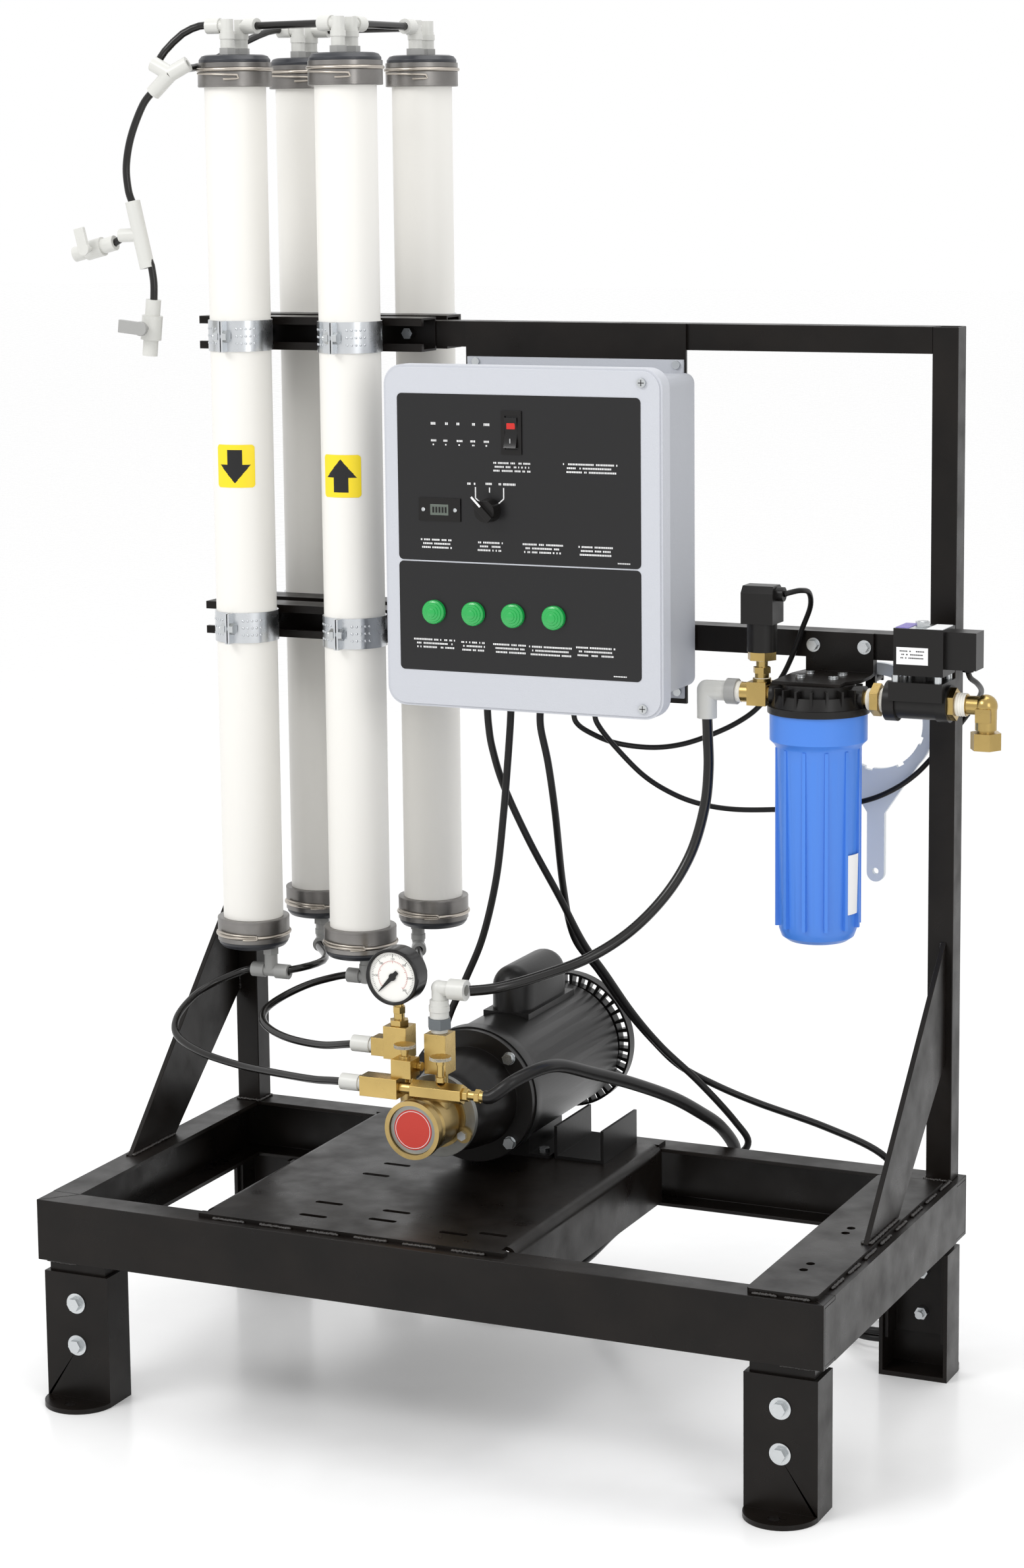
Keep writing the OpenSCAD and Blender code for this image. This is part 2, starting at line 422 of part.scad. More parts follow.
// ================= fasteners =================
module bolt_small(p,d,af,l) { hexy([p[0],p[1]-4.5,p[2]],af,4.55); cy([p[0],p[1],p[2]],d,l); }
module screw_z(p,d,hd,l) { cz([p[0],p[1],p[2]],hd,2.6); cz([p[0],p[1],p[2]-l],d,l+0.1); }
module fasteners() color([0.75,0.76,0.78]) {
  for(s=legs_at()) mirror([s[0]<0?1:0,0,0]) mirror([0,s[1]>0?1:0,0]) for(z=[72.8,125]) {
    bolt_y([lx+leg_w/2,-hy+2.4,z],10);
    nut_y([lx+leg_w/2,-hy+2.5+2*rail_t+0.4,z]);
  }
  // bracket bolts through the middle bar
  for(x=[315,379]) { hexy([x,yb0-6.1-7,896.5],11,5.3); cy([x,yb0-6.1-1.8,896.5],17,1.7); cy([x,yb0-6.3,896.5],6.4,yb1-yb0+13); nut_y([x,yb1+0.1,896.5],6.4,11); }
  // strut bolts through the bars, heads inside the front strut
  for(z=[frame_top-tube_a/2,mid_top-tube_a/2]) for(x=[-420,-220]) { hexy([x,yb0-2.7-7,z],13,7); cy([x,yb0-3,z],8.6,yb1-yb0+14); nut_y([x,yb1+2.8,z],8.6,13); }
  // enclosure ear screws
  for(x=[bx-133,bx+133]) for(z=[830,1228]) { cy([x,byr-5-3,z],10,2.9); cy([x,byr-5.2,z],5,14); }
  // clamp bolts, one across each pair of ears
  for(i=[0:3]) for(z=sz) { yy = HP[i][1]+(HP[i][1]<200?-1:1)*(hr+9); x=HP[i][0];
    hexx([x+3.1,yy,z],12.7,5.4); cx([x-12,yy,z],8,15.2); translate([x-9.2,yy,z]) rotate([0,90,0]) difference() { cylinder(d=12.7/cos(30),h=6,$fn=6); translate([0,0,-1]) cylinder(d=8.2,h=8); } }
  // motor feet
  for(x=[-127,-3]) for(y=[125,201]) { hexz([x,y,dt+4.1],12.7,6); cz([x,y,dz-8],8.4,dt-dz+12.2); translate([0,0,0]) difference() { hexz([x,y,dz-6.6],12.7,6.5); cz([x,y,dz-8],8.6,10); } }
  // motor face bolts
  for(a=[45,135,225,315]) rotate_y(a) { hexy([74.6,37.4,0],12.7,5.5); cy([74.6,42.8,0],16,1.9); cy([74.6,44,0],9,24); }
  // pump flange bolts
  for(a=[-27,153]) rotate_y(a) { hexy([41,-60.6,0],10.5,5.5); cy([41,-55.2,0],7.9,25); }
  // filter bracket screws
  for(x=[320,361]) for(y=[157,190]) screw_z([x,y,866.1],5.8,12,10);
}
module rotate_y(a) translate([ax,0,az]) rotate([0,-a,0]) children();

// ================= filter =================
module filter_bracket() color([0.075,0.062,0.055]) {
  difference() {
    union() {
      bx3([305,yb0-6,866],[390,yb0-0.1,913]);
      translate([0,0,862]) linear_extrude(4) polygon([[298,118],[382,118],[382,140],[394,160],[394,196],[390,yb0-0.1],[305,yb0-0.1],[298,190]]);
    }
    for(x=[315,379]) cy([x,yb0-8,896.5],6.6,10);
    for(x=[320,361]) for(y=[157,190]) cz([x,y,861],6,6);
  }
  // hook for the spanner under the bar
  difference() { union() { bx3([374,236,844],[386,243,mid_top-tube_a-0.1]); cy([380,240,853.3],7.8,34); bx3([376,272.5,849],[384,276,866]); } cz([380,240,870],1,1); }
}
module head_port(s) {
  difference() { union() { cx([fx+(s>0?40:-58),fy,846],30,18); }
    cx([fx+(s>0?40:-59),fy,846],19.2,20); }
}
hp0 = 828;
module filter_head() color([0.07,0.065,0.06]) translate([0,0,0]) difference() {
  union() {
    cz([fx,fy,hp0],121,8);
    translate([fx,fy,hp0+7.9]) cylinder(d1=112,d2=104,h=14);
    cz([fx,fy,hp0+21],88,862-hp0-21.1);
    for(a=[0:20:340]) translate([fx,fy,0]) rotate(a) bx3([40,-1.5,hp0+8],[55,1.5,858]);
    cx([fx-58,fy,846],30,116);
    // threaded spigot inside the sump
    cz([fx,fy,hp0-22],96,22.1);
  }
  cz([fx,fy,hp0-30],86,44);
  cx([fx-60,fy,846],19.2,26); cx([fx+34,fy,846],19.2,26);
  for(x=[320,361]) for(y=[157,190]) cz([x,y,850],6,20);
}
module filter_sump() color([0.2,0.42,0.82]) translate([fx,fy,0]) difference() {
  union() {
    rotate_extrude($fn=96) polygon([[0,hp0-sump_h-2],[36,hp0-sump_h-2],[43,hp0-sump_h+3],[46.4,hp0-sump_h+12],[50.5,hp0-42],[52.5,hp0-38],[sump_d/2,hp0-33],[sump_d/2,hp0-0.2],[0,hp0-0.2]]);
    for(a=[0:30:330]) rotate(a) translate([0,0,hp0-sump_h+16]) bx3([44,-2,0],[51.5,2,sump_h-58]);
  }
  // bore for the spigot and the cartridge
  cz([0,0,hp0-24],96.1,30);
  cz([0,0,hp0-sump_h+6],84,sump_h+10);
}
module filter_cartridge() color([0.95,0.95,0.93]) translate([fx,fy,0]) difference() {
  cz([0,0,hp0-sump_h+6.2],63,250); cz([0,0,hp0-sump_h+5],28,260);
}
module filter_spanner() color([0.86,0.88,0.9]) translate([380,0,799.8]) difference() {
  union() {
    cy([0,262,0],144,7.5);
    translate([-12,262,-186]) cube([22,7.5,120]);
    cy([-1,262,-186],22,7.5);
    translate([0,269.5,0]) rotate([90,0,0]) linear_extrude(7.5) polygon([[-52,-50],[52,-50],[10,-112],[-12,-112]]);
  }
  cy([0,261,0],115,10);
  for(a=[20:40:340]) rotate([0,a,0]) translate([56,261,-5]) cube([4.5,10,10]);
  cy([-1,261,-184],8,10);
}

// ================= fittings round the filter =================
pz = 846;
module pressure_switch() {
  color([0.07,0.065,0.06]) { cz([275,fy,904.6],36,30); translate([275,fy,0]) hull() { translate([-20,-19,930]) cube([40,38,6]); translate([-20,-19,966]) cube([40,38,1]); translate([-20,-12,974]) cube([38,24,1]); }
    difference() { cx([294,fy,965],17,9); cx([300,fy,965],6.8,8); } }
  color([0.8,0.64,0.3]) { cz([275,fy,896],36,8.7); hexz([275,fy,886],31,10.1); cz([275,fy,877.2],14,9); hexz([275,fy,870.2],19,7.1); cz([275,fy,864.2],17,6.1); }
}
module line_fittings() {
  // brass tee on the inlet side
  color([0.78,0.62,0.28]) difference() {
    union() { bx3([260,fy-13,pz-14],[284,fy+13,pz+14]); cz([275,fy,pz+10],22,8); cx([250,fy,pz],24,20); cx([283,fy,pz],18.8,19); }
    cx([249,fy,pz],13.2,30); cz([275,fy,pz],10,12);
  }
  // white elbow with its grey ring, mouth down to the suction tube
  color([0.92,0.92,0.9]) { cx([240,fy,pz],13,12); difference() { union() { cx([205,fy,pz],24,32); translate([205,fy,pz]) sphere(d=24); cz([205,fy,pz-34],24,34); } cz([205,fy,pz-35],12.9,22); } }
  color([0.6,0.62,0.63]) difference() { cx([231.5,fy,pz],31,13); cx([230,fy,pz],24.1,9); cx([238,fy,pz],13.2,9); }
  // nipple between the head and the solenoid valve
  color([0.72,0.56,0.3]) { cx([390,fy,pz],19,17); cx([406.8,fy,pz],24,7.2); hexx([413.8,fy,pz],34,10); cx([423.8,fy,pz],27.8,16); }
  // outlet nipple and elbow
  color([0.78,0.62,0.28]) { cx([498,fy,pz],27.8,10.2); hexx([508.2,fy,pz],34,7); cx([515,fy,pz],26,13);
    cx([527.8,fy,pz],22,24); translate([550,fy,pz]) sphere(d=27); cz([550,fy,pz-28],25,28); bx3([541,fy-14.5,pz-18],[559,fy+14.5,pz-2]); cz([550,fy,pz-31],20,4);
    translate([550,fy,0]) difference() { hexz([0,0,pz-51],32,20.1); cz([0,0,pz-52],15.9,14); } }
}
module solenoid_valve() {
  color([0.07,0.065,0.06]) {
    difference() { union() { cx([431,fy,pz],47,14); cx([444,fy,pz],40,58); cx([494,fy,pz],44,14); bx3([440,fy-26,pz+4],[505,fy+26,pz+26]); }
      cx([430,fy,pz],28,11); cx([497.6,fy,pz],28,16); cx([440,fy,pz],18,60); }
    for(x=[447,498]) for(y=[fy-20,fy+20]) color("silver") cz([x,y,pz+25.9],9,8);
    color([0.7,0.6,0.4]) cz([473,fy,pz+25.9],26,8);
    difference() { bx3([445,fy-23,pz+33.7],[505,fy+23,pz+89]); cz([473,fy,pz+80],14,12); }
    bx3([504.9,fy-15,pz+42],[542,fy+15,pz+86]);
    difference() { cz([528,fy,pz+38.5],13,5); cz([528,fy,pz+37],6.6,4); }
  }
  color("silver") { cz([473,fy,pz+80.1],13.8,10); hexz([473,fy,pz+89.1],15,6); }
}

// ================= pump and motor =================
module ry(p) translate([ax,0,az]) rotate([-90,0,0]) children();   // local z runs along +Y
module pump_body() color([0.72,0.55,0.28]) difference() {
  union() {
    ry() rotate_extrude($fn=64) polygon([[0,-114],[30,-114],[30,-119],[35.6,-119],[36,-112],[33.5,-109],[33.5,-104],[31,-102],[34,-98],[34,-60],[30,-57],[30,-52],[0,-52]]);
    // two ports on top
    cz([-88,-75,az+20],22,20); cz([-46,-75,az+20],22,20);
    ry() rotate_extrude($fn=64) polygon([[0,-53],[38,-53],[38,-50.1],[0,-50.1]]);
    for(a=[-27,153]) rotate_y(a) cy([41,-55,0],20,4.9);
  }
  // rotor cavity
  ry() cz([0,0,-102],44,40);
  ry() cz([0,0,-64],16.1,20);
  cz([-88,-75,az+15],12,40); cz([-46,-75,az+15],12,40);
  for(a=[-27,153]) rotate_y(a) cy([41,-60,0],8.1,15);
}
module pump_adapter() {
  // zinc pump flange
  color([0.62,0.62,0.6]) difference() { ry() cz([0,0,-50],101,7.8); ry() cz([0,0,-55],40,20); for(a=[-27,153]) rotate_y(a) cy([41,-52,0],8.1,12); }
  // cast adapter to the motor's face
  color([0.06,0.055,0.05]) difference() {
    union() { ry() rotate_extrude($fn=64) polygon([[0,-42],[44,-42],[50,-30],[58,10],[62,44.8],[82.5,45],[82.5,54.9],[0,54.9]]); }
    ry() rotate_extrude($fn=64) polygon([[0,-43],[38,-43],[42,-28],[52,12],[56,56],[0,56]]);
    for(a=[45,135,225,315]) rotate_y(a) cy([74.6,40,0],9.2,20);
    for(a=[-27,153]) rotate_y(a) cy([41,-45,0],8.1,20);
  }
}
module motor_body() color([0.065,0.06,0.055]) {
  difference() {
    union() {
      // front bell, shell and rear bell
      ry() rotate_extrude($fn=96) polygon([[0,55],[84,55],[84,74],[shell_d/2,84],[shell_d/2,322],[74,330],[0,330]]);
      // rear rim with its ring of vents
      ry() rotate_extrude($fn=96) polygon([[60,330-0.1],[70,330-0.1],[70,338],[89,338],[89,353],[60,353]]);
      ry() rotate_extrude($fn=96) polygon([[0,345],[60.1,345],[60.1,353],[0,353]]);
    }
    ry() cz([0,0,62],2*(shell_d/2-5),261);
    ry() cz([0,0,54],44,10);
    ry() cz([0,0,322.9],120,22);
    for(k=[0:39]) rotate_y(k*9) bx3([74,336,-4.2],[86,356,4.2]);
    for(a=[45,135,225,315]) rotate_y(a) cy([74.6,50,0],9.2,20);
  }
  // bearing spiders
  difference() { ry() cz([0,0,70],2*(shell_d/2-5.1),6); ry() cz([0,0,69],17.1,8); for(a=[0:60:300]) rotate_y(a+30) cy([50,65,0],24,20); }
  difference() { ry() cz([0,0,296],2*(shell_d/2-5.1),6); ry() cz([0,0,295],17.1,8); for(a=[0:60:300]) rotate_y(a+30) cy([50,290,0],24,20); }
  // stator
  color([0.45,0.3,0.2]) difference() { ry() cz([0,0,110],2*(shell_d/2-5.1),150); ry() cz([0,0,109],88,152); }
  // capacitor cover on top
  difference() {
    union() {
      hull() for(y=[176,266]) { translate([-65,y,452]) sphere(r=27,$fn=32); translate([-65,y,419]) cylinder(r=27,h=5,$fn=32); }
      bx3([-96,150,414],[-34,292,424]);
    }
    ry() cz([0,0,120],shell_d+0.1,200);
  }
  // foot plate and saddle
  difference() {
    union() { bx3([-139,112,dt],[9,214,dt+4]);
      for(s=[-1,1]) bx3([ax+s*44-3,112,dt+3.9],[ax+s*44+3,214,az-60]);
      bx3([ax-44,112,dt+3.9],[ax+44,118,az-60]); bx3([ax-44,208,dt+3.9],[ax+44,214,az-60]); }
    ry() cz([0,0,100],shell_d+0.1,130);
    for(x=[-127,-3]) for(y=[125,201]) cz([x,y,dt-1],9,8);
  }
  // channel bracket beside the foot
  difference() { bx3([14,117,dt],[80,224,295]); bx3([18,116,dt+4],[76,225,296]); }
}
module motor_rotor() color([0.6,0.6,0.62]) {
  ry() cz([0,0,-62],16,62.1+320);
  ry() cz([0,0,112],86,146);
  ry() cz([0,0,306],110,10);
  ry() difference() { cz([0,0,-100],40,37.9); }
}

// ================= brass manifold =================
fz = 392.5; fyy = -112;
module manifold() color([0.8,0.62,0.22]) {
  // nipples up from the pump
  cz([-88,-75,az+40.1],16,34.8); cz([-46,-75,az+40.1],16,22);
  // discharge tee under the gauge
  difference() { union() { bx3([-116,-89,418.5],[-86,-61,458]); bx3([-134,-86,420],[-115.9,-64,442]); } cx([-135,-75,430],12,20); cz([-101,-75,430],10,30); }
  hexz([-101,-75,458.1],21,7); cz([-101,-75,465],13,8);
  // suction block and reducer
  bx3([-62,-89,405.7],[-34,-61,454]);
  color([0.93,0.93,0.91]) cz([-48,-75,454.1],20,5); color([0.45,0.48,0.5]) hexz([-48,-75,459.2],26,12.5);
  color([0.93,0.93,0.91]) { cz([-48,-75,471.8],23,22); cz([-48,-75,480],25,7); cz([-48,-75,490],18,18); translate([-48,-75,508]) sphere(d=19); difference() { union() { cx([-48,-75,508],18,16); cx([-34,-75,508],25,22); } cx([-24,-75,508],12.9,13); } }
  // concentrate block, by-pass valve and drain valve
  difference() { bx3([-131,fyy-12,fz-12],[-82,fyy+12,fz+12]); cx([-132,fyy,fz],12,20); }
  cx([-81.9,fyy,fz],14,15.8);
  difference() { hexx([-66,fyy,fz],21,66); cz([-29.6,fyy,fz+2],8.1,14); }
  difference() { cz([-29.6,fyy,fz+12.4],12,6); cz([-29.6,fyy,fz+11],8.1,10); }
  hexx([0.1,fyy,fz],14,7); cx([7.1,fyy,fz],11,9); hexx([16,fyy,fz],15,6); cx([21.9,fyy,fz],13,6);
  difference() { union() { translate([-93,-116,fz+12.1]) cube([26,25,21.9]); cz([-80,-104,fz+33.9],14,3); } cz([-80,-104,fz+20],8.1,20); }
  cx([-66.9,-94,fz+23],11,4.8);
  // white push-fit inlets on the left
  color([0.93,0.93,0.91]) { for(p=[[-134,-75,430],[-131,fyy,fz]]) { cx([p[0]+0.1,p[1],p[2]],11.9,8); cx([p[0]-5,p[1],p[2]],17,4.9); difference() { cx([p[0]-29,p[1],p[2]],20,24.1); cx([p[0]-30,p[1],p[2]],9.7,16); } } }
}
module knob1() { cz([0,0,0],8,26); cz([0,0,20],10,6); difference() { cz([0,0,26],26,4.2); for(a=[0:30:330]) rotate(a) cz([13.6,0,25],3,8); } }
module bypass_valve_knob() color([0.85,0.85,0.8]) translate([-80,-104,fz+21]) knob1();
module drain_valve_knob() color([0.85,0.85,0.8]) translate([-29.6,fyy,fz+13]) knob1();
gc = [-101,-93,520];
module gauge_case() {
  color([0.07,0.07,0.07]) difference() { translate([gc[0],-93,gc[2]]) rotate([-90,0,0]) rotate_extrude($fn=64) polygon([[0,3],[30.5,3],[30.5,0],[34,0],[34.2,26],[31,30],[0,30]]); cy([gc[0],-95,gc[2]],4.1,14); }
  color([0.8,0.62,0.22]) { hexz([-101,-75,473.1],14,8); cz([-101,-75,481],11,8); }
}
module gauge_needle() color("black") translate([gc[0],0,gc[2]]) {
  cy([0,-92.6,0],4,10); cy([0,-92.6,0],9,0.9);
  rotate([0,134,0]) translate([0,-92.4,0]) rotate([-90,0,0]) linear_extrude(0.6) polygon([[-9,-2.4],[-9,2.4],[0,3],[26,0.5],[26,-0.5],[0,-3]]);
}

// ================= product line =================
YR = [[[0,-62,0],27],[[0,62,12],26],[[0,-132,0],34]];   // the union Y's arms: direction and length
module product_fittings() color([0.93,0.93,0.91]) {
  // union Y at the top
  translate([-478,92,1582]) difference() {
    union() { for(r=YR) rotate(r[0]) hull() cylinder(d=19,h=r[1],$fn=28); }
    for(r=YR) rotate(r[0]) cz([0,0,r[1]-18],9.6,20);
  }
  // union tee lower down
  translate([-526,90,1386]) { rotate([0,-13,0]) difference() { cz([0,0,-42],19,84); cz([0,0,22],9.6,25); cz([0,0,-45],9.6,25); }
    rotate([0,-92,0]) difference() { cz([0,0,0],17,28); cz([0,0,10],9.6,20); } }
  // bodies of the two ball valves
  translate([-562,90,1376]) rotate([0,-104,0]) { difference() { union() { cz([0,0,0],19,60); cz([0,0,18],24,24); } cz([0,0,-1],9.6,14); cz([0,0,46],9.6,16); rotate([90,0,0]) translate([0,30,0]) cylinder(d=6.1,h=30); } }
  translate([-509,90,1306]) rotate([0,186,0]) { difference() { union() { cz([0,0,0],19,70); cz([0,0,20],26,30); } cz([0,0,-1],9.6,15); cz([0,0,56],9.6,16); rotate([90,0,0]) translate([0,35,0]) cylinder(d=6.1,h=30); } }
}
function v1() = [-562-30*sin(76.0)*1,90,1376-30*cos(76.0)];
module left_valve_lever() color([0.35,0.36,0.37]) translate([-562,90,1376]) rotate([0,-104,0]) translate([0,0,30]) { cy([0,-26,0],6,20); translate([-3,-30,-7]) cube([30,6,14]); cy([0,-30,0],16,6); }
module lower_valve_lever() color([0.35,0.36,0.37]) translate([-509,90,1306]) rotate([0,186,0]) translate([0,0,35]) { cy([0,-26,0],6,20); translate([-3,-30,-8]) cube([34,6,16]); cy([0,-30,0],18,6); }
module product_tube() color([0.06,0.055,0.05]) { sweep(R_c3,9.4,12,2); sweep(R_c4,9.4,12,1); sweep(R_c5,9.4,12,1); }

module loop_tube_outer() color([0.06,0.055,0.05]) sweep(R_lo,9.4,12,2);
module loop_tube_inner() color([0.06,0.055,0.05]) sweep(R_li,9.4,12,2);
module suction_tube() color([0.06,0.055,0.05]) sweep(R_su,12.7,12,2);
module drain_hose() color([0.05,0.05,0.05]) sweep(R_dr,16,12,2);
fc = [-125,306]; lc = [370,350]; pc = [-292,330];
module drain_hose_coil() color([0.05,0.05,0.05]) translate([fc[0],fc[1],0]) rotate_extrude() translate([43.5,0.5]) square([51,17]);
module power_cord() color([0.05,0.05,0.05]) sweep(R_pw,9,12,2);
module power_cord_coil() color([0.05,0.05,0.05]) translate([pc[0],pc[1],0]) rotate_extrude() translate([45.5,0]) square([10,28]);
module power_plug() color([0.06,0.06,0.06]) translate([pc[0],pc[1],0]) { bx3([-18,-66,28.2],[20,-36,52]); color("silver") { bx3([20,-58,36],[37,-56.5,43]); bx3([20,-45.5,36],[37,-44,43]); cx([20,-51,47],4.7,20); } }
module motor_cable() color([0.05,0.05,0.05]) sweep(R_mo,9,10,2);
module level_cable() color([0.05,0.05,0.05]) sweep(R_le,9,12,2);
module level_cable_coil() color([0.05,0.05,0.05]) translate([lc[0],lc[1],0]) rotate_extrude() translate([45.5,0]) square([10,28]);
module switch_cable() color([0.05,0.05,0.05]) sweep(R_ps,6.5,8,2);
module solenoid_cable() color([0.05,0.05,0.05]) sweep(R_so,6.5,8,2);

module fr() translate([ox,oy,0]) children();
fr() long_rails();
fr() side_rails();
fr() pump_plate();
fr() side_plate();
fr() legs();
fr() leg_stubs();
fr() uprights();
fr() cross_bars();
fr() gussets();
fr() panel_plate();
fr() struts();
fr() tube_clamps();
fr() housing_tubes();
fr() end_plugs();
fr() retaining_rings();
fr() membranes();
fr() membrane_fittings();
fr() link_tubes();
fr() enclosure_box();
fr() enclosure_cover();
fr() control_chassis();
fr() door_instruments();
fr() rocker_switch();
fr() selector_knob();
fr() cable_glands();
fr() fasteners();
fr() filter_bracket();
fr() filter_head();
fr() filter_sump();
fr() filter_cartridge();
fr() filter_spanner();
fr() pressure_switch();
fr() line_fittings();
fr() solenoid_valve();
fr() pump_body();
fr() pump_adapter();
fr() motor_body();
fr() motor_rotor();
fr() manifold();
fr() bypass_valve_knob();
fr() drain_valve_knob();
fr() gauge_case();
fr() gauge_needle();
fr() product_fittings();
fr() left_valve_lever();
fr() lower_valve_lever();
fr() product_tube();
fr() loop_tube_outer();
fr() loop_tube_inner();
fr() suction_tube();
fr() drain_hose();
fr() drain_hose_coil();
fr() power_cord();
fr() power_cord_coil();
fr() power_plug();
fr() motor_cable();
fr() level_cable();
fr() level_cable_coil();
fr() switch_cable();
fr() solenoid_cable();
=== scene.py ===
import bpy, bmesh, json, math, random
from mathutils import Vector, Matrix

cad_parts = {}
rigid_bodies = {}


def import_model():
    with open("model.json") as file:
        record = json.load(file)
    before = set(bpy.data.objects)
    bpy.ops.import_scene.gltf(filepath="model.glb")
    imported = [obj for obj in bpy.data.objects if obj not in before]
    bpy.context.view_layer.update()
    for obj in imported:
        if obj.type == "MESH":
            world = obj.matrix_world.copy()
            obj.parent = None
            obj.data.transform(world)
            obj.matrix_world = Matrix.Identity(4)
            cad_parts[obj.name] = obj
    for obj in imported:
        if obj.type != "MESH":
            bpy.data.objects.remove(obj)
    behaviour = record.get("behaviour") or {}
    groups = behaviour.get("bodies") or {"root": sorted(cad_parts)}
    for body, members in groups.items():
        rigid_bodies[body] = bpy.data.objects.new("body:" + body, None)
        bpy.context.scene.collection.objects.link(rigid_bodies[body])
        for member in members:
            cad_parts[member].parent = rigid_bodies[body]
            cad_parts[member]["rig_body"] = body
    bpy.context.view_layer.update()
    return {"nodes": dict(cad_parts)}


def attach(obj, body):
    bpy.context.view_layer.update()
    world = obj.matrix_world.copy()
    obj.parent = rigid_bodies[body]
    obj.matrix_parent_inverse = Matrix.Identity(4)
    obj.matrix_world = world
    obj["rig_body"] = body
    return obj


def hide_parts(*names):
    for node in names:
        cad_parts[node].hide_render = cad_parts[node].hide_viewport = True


random.seed(11)
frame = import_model()
OX, OY = -35.0, -42.0


def M(p):
    return Vector(((p[0] + OX) / 1000, (p[1] + OY) / 1000, p[2] / 1000))


# ------------------------------------------------------------ materials
def mat(name, col, rough=0.4, metal=0.0, coat=0.0, bump=0.0, bscale=200.0, spec=0.5, var=0.0, emit=0.0,
        alpha=1.0, trans=0.0, aniso=False, rvar=0.0):
    m = bpy.data.materials.new(name)
    m.use_nodes = True
    nt = m.node_tree
    b = nt.nodes["Principled BSDF"]
    b.inputs["Base Color"].default_value = (*col, 1)
    b.inputs["Roughness"].default_value = rough
    b.inputs["Metallic"].default_value = metal
    b.inputs["Coat Weight"].default_value = coat
    b.inputs["Coat Roughness"].default_value = 0.12
    b.inputs["Specular IOR Level"].default_value = spec
    b.inputs["Transmission Weight"].default_value = trans
    b.inputs["Alpha"].default_value = alpha
    if emit:
        b.inputs["Emission Color"].default_value = (*col, 1)
        b.inputs["Emission Strength"].default_value = emit
    tc = nt.nodes.new("ShaderNodeTexCoord")
    if bump:
        n = nt.nodes.new("ShaderNodeTexNoise")
        n.inputs["Scale"].default_value = bscale
        n.inputs["Detail"].default_value = 3
        nt.links.new(tc.outputs["Object"], n.inputs["Vector"])
        bp = nt.nodes.new("ShaderNodeBump")
        bp.inputs["Strength"].default_value = bump
        bp.inputs["Distance"].default_value = 0.001
        nt.links.new(n.outputs["Fac"], bp.inputs["Height"])
        nt.links.new(bp.outputs["Normal"], b.inputs["Normal"])
    if var:
        n = nt.nodes.new("ShaderNodeTexNoise")
        n.inputs["Scale"].default_value = 14
        n.inputs["Detail"].default_value = 6
        nt.links.new(tc.outputs["Object"], n.inputs["Vector"])
        r = nt.nodes.new("ShaderNodeValToRGB")
        r.color_ramp.elements[0].position = 0.35
        r.color_ramp.elements[1].position = 0.75
        r.color_ramp.elements[0].color = (*[c * (1 - var) for c in col], 1)
        r.color_ramp.elements[1].color = (*[min(1, c * (1 + var)) for c in col], 1)
        nt.links.new(n.outputs["Fac"], r.inputs["Fac"])
        nt.links.new(r.outputs["Color"], b.inputs["Base Color"])
    if rvar:
        n = nt.nodes.new("ShaderNodeTexNoise")
        n.inputs["Scale"].default_value = 22
        n.inputs["Detail"].default_value = 8
        nt.links.new(tc.outputs["Object"], n.inputs["Vector"])
        mr = nt.nodes.new("ShaderNodeMapRange")
        mr.inputs["From Min"].default_value = 0.3
        mr.inputs["From Max"].default_value = 0.7
        mr.inputs["To Min"].default_value = max(0.05, rough - rvar)
        mr.inputs["To Max"].default_value = min(1, rough + rvar)
        nt.links.new(n.outputs["Fac"], mr.inputs["Value"])
        nt.links.new(mr.outputs["Result"], b.inputs["Roughness"])
    return m


BLK = mat("powder_black", (0.0065, 0.0048, 0.0038), 0.34, bump=0.05, bscale=260, spec=0.2, var=0.35, rvar=0.1)
EDGE = mat("powder_edge", (0.03, 0.024, 0.02), 0.3, bump=0.1, bscale=240, spec=0.5, var=0.3)
WELD = mat("weld", (0.016, 0.013, 0.011), 0.3, bump=0.5, bscale=420, spec=0.6, var=0.4)
ZINC = mat("zinc", (0.62, 0.64, 0.66), 0.27, 1.0, bump=0.04, bscale=180, rvar=0.1)
BOLT = mat("bolt", (0.55, 0.57, 0.58), 0.3, 1.0, bump=0.05, rvar=0.1)
BAND = mat("band", (0.235, 0.225, 0.215), 0.36, 0.9, bump=0.12, bscale=120, var=0.25, rvar=0.1)
WIRE = mat("wire", (0.46, 0.42, 0.37), 0.3, 1.0)
WHT = mat("housing_white", (0.80, 0.785, 0.745), 0.42, bump=0.03, bscale=40, spec=0.4)
# the housing white darkened to three quarters for the lip inside the band: painted shade (not used below)
WHT_PAINTED_SHADE = mat("lip_white_painted_shade", (0.6, 0.59, 0.56), 0.5)
PLUG = mat("plug_black", (0.022, 0.024, 0.03), 0.36, bump=0.05)
FITW = mat("fit_white", (0.60, 0.60, 0.57), 0.34, spec=0.5, bump=0.02)
FITG = mat("fit_grey", (0.33, 0.33, 0.32), 0.38, spec=0.5)
FITD = mat("fit_dark", (0.115, 0.13, 0.14), 0.4)
TUBE = mat("tube_black", (0.0065, 0.0058, 0.0052), 0.22, coat=0.15, spec=0.35)
HOSE = mat("hose_black", (0.007, 0.0064, 0.0064), 0.33, spec=0.3)
CABL = mat("cable_black", (0.0065, 0.006, 0.006), 0.38, spec=0.28)
BOXG = mat("box_grey", (0.52, 0.535, 0.575), 0.5, bump=0.22, bscale=520, spec=0.4)
# the cover's grey darkened to about 0.83 for the box body: painted shade, the same paint as the cover
BOX_PAINTED_SHADE = mat("box_grey_painted_shade", (0.43, 0.445, 0.48), 0.55, bump=0.22, bscale=520, spec=0.4)
OVER = mat("overlay", (0.0065, 0.0062, 0.0068), 0.3, spec=0.4)
INK = mat("ink_white", (0.72, 0.72, 0.72), 0.5)
INK2 = mat("ink_grey", (0.42, 0.42, 0.42), 0.5)
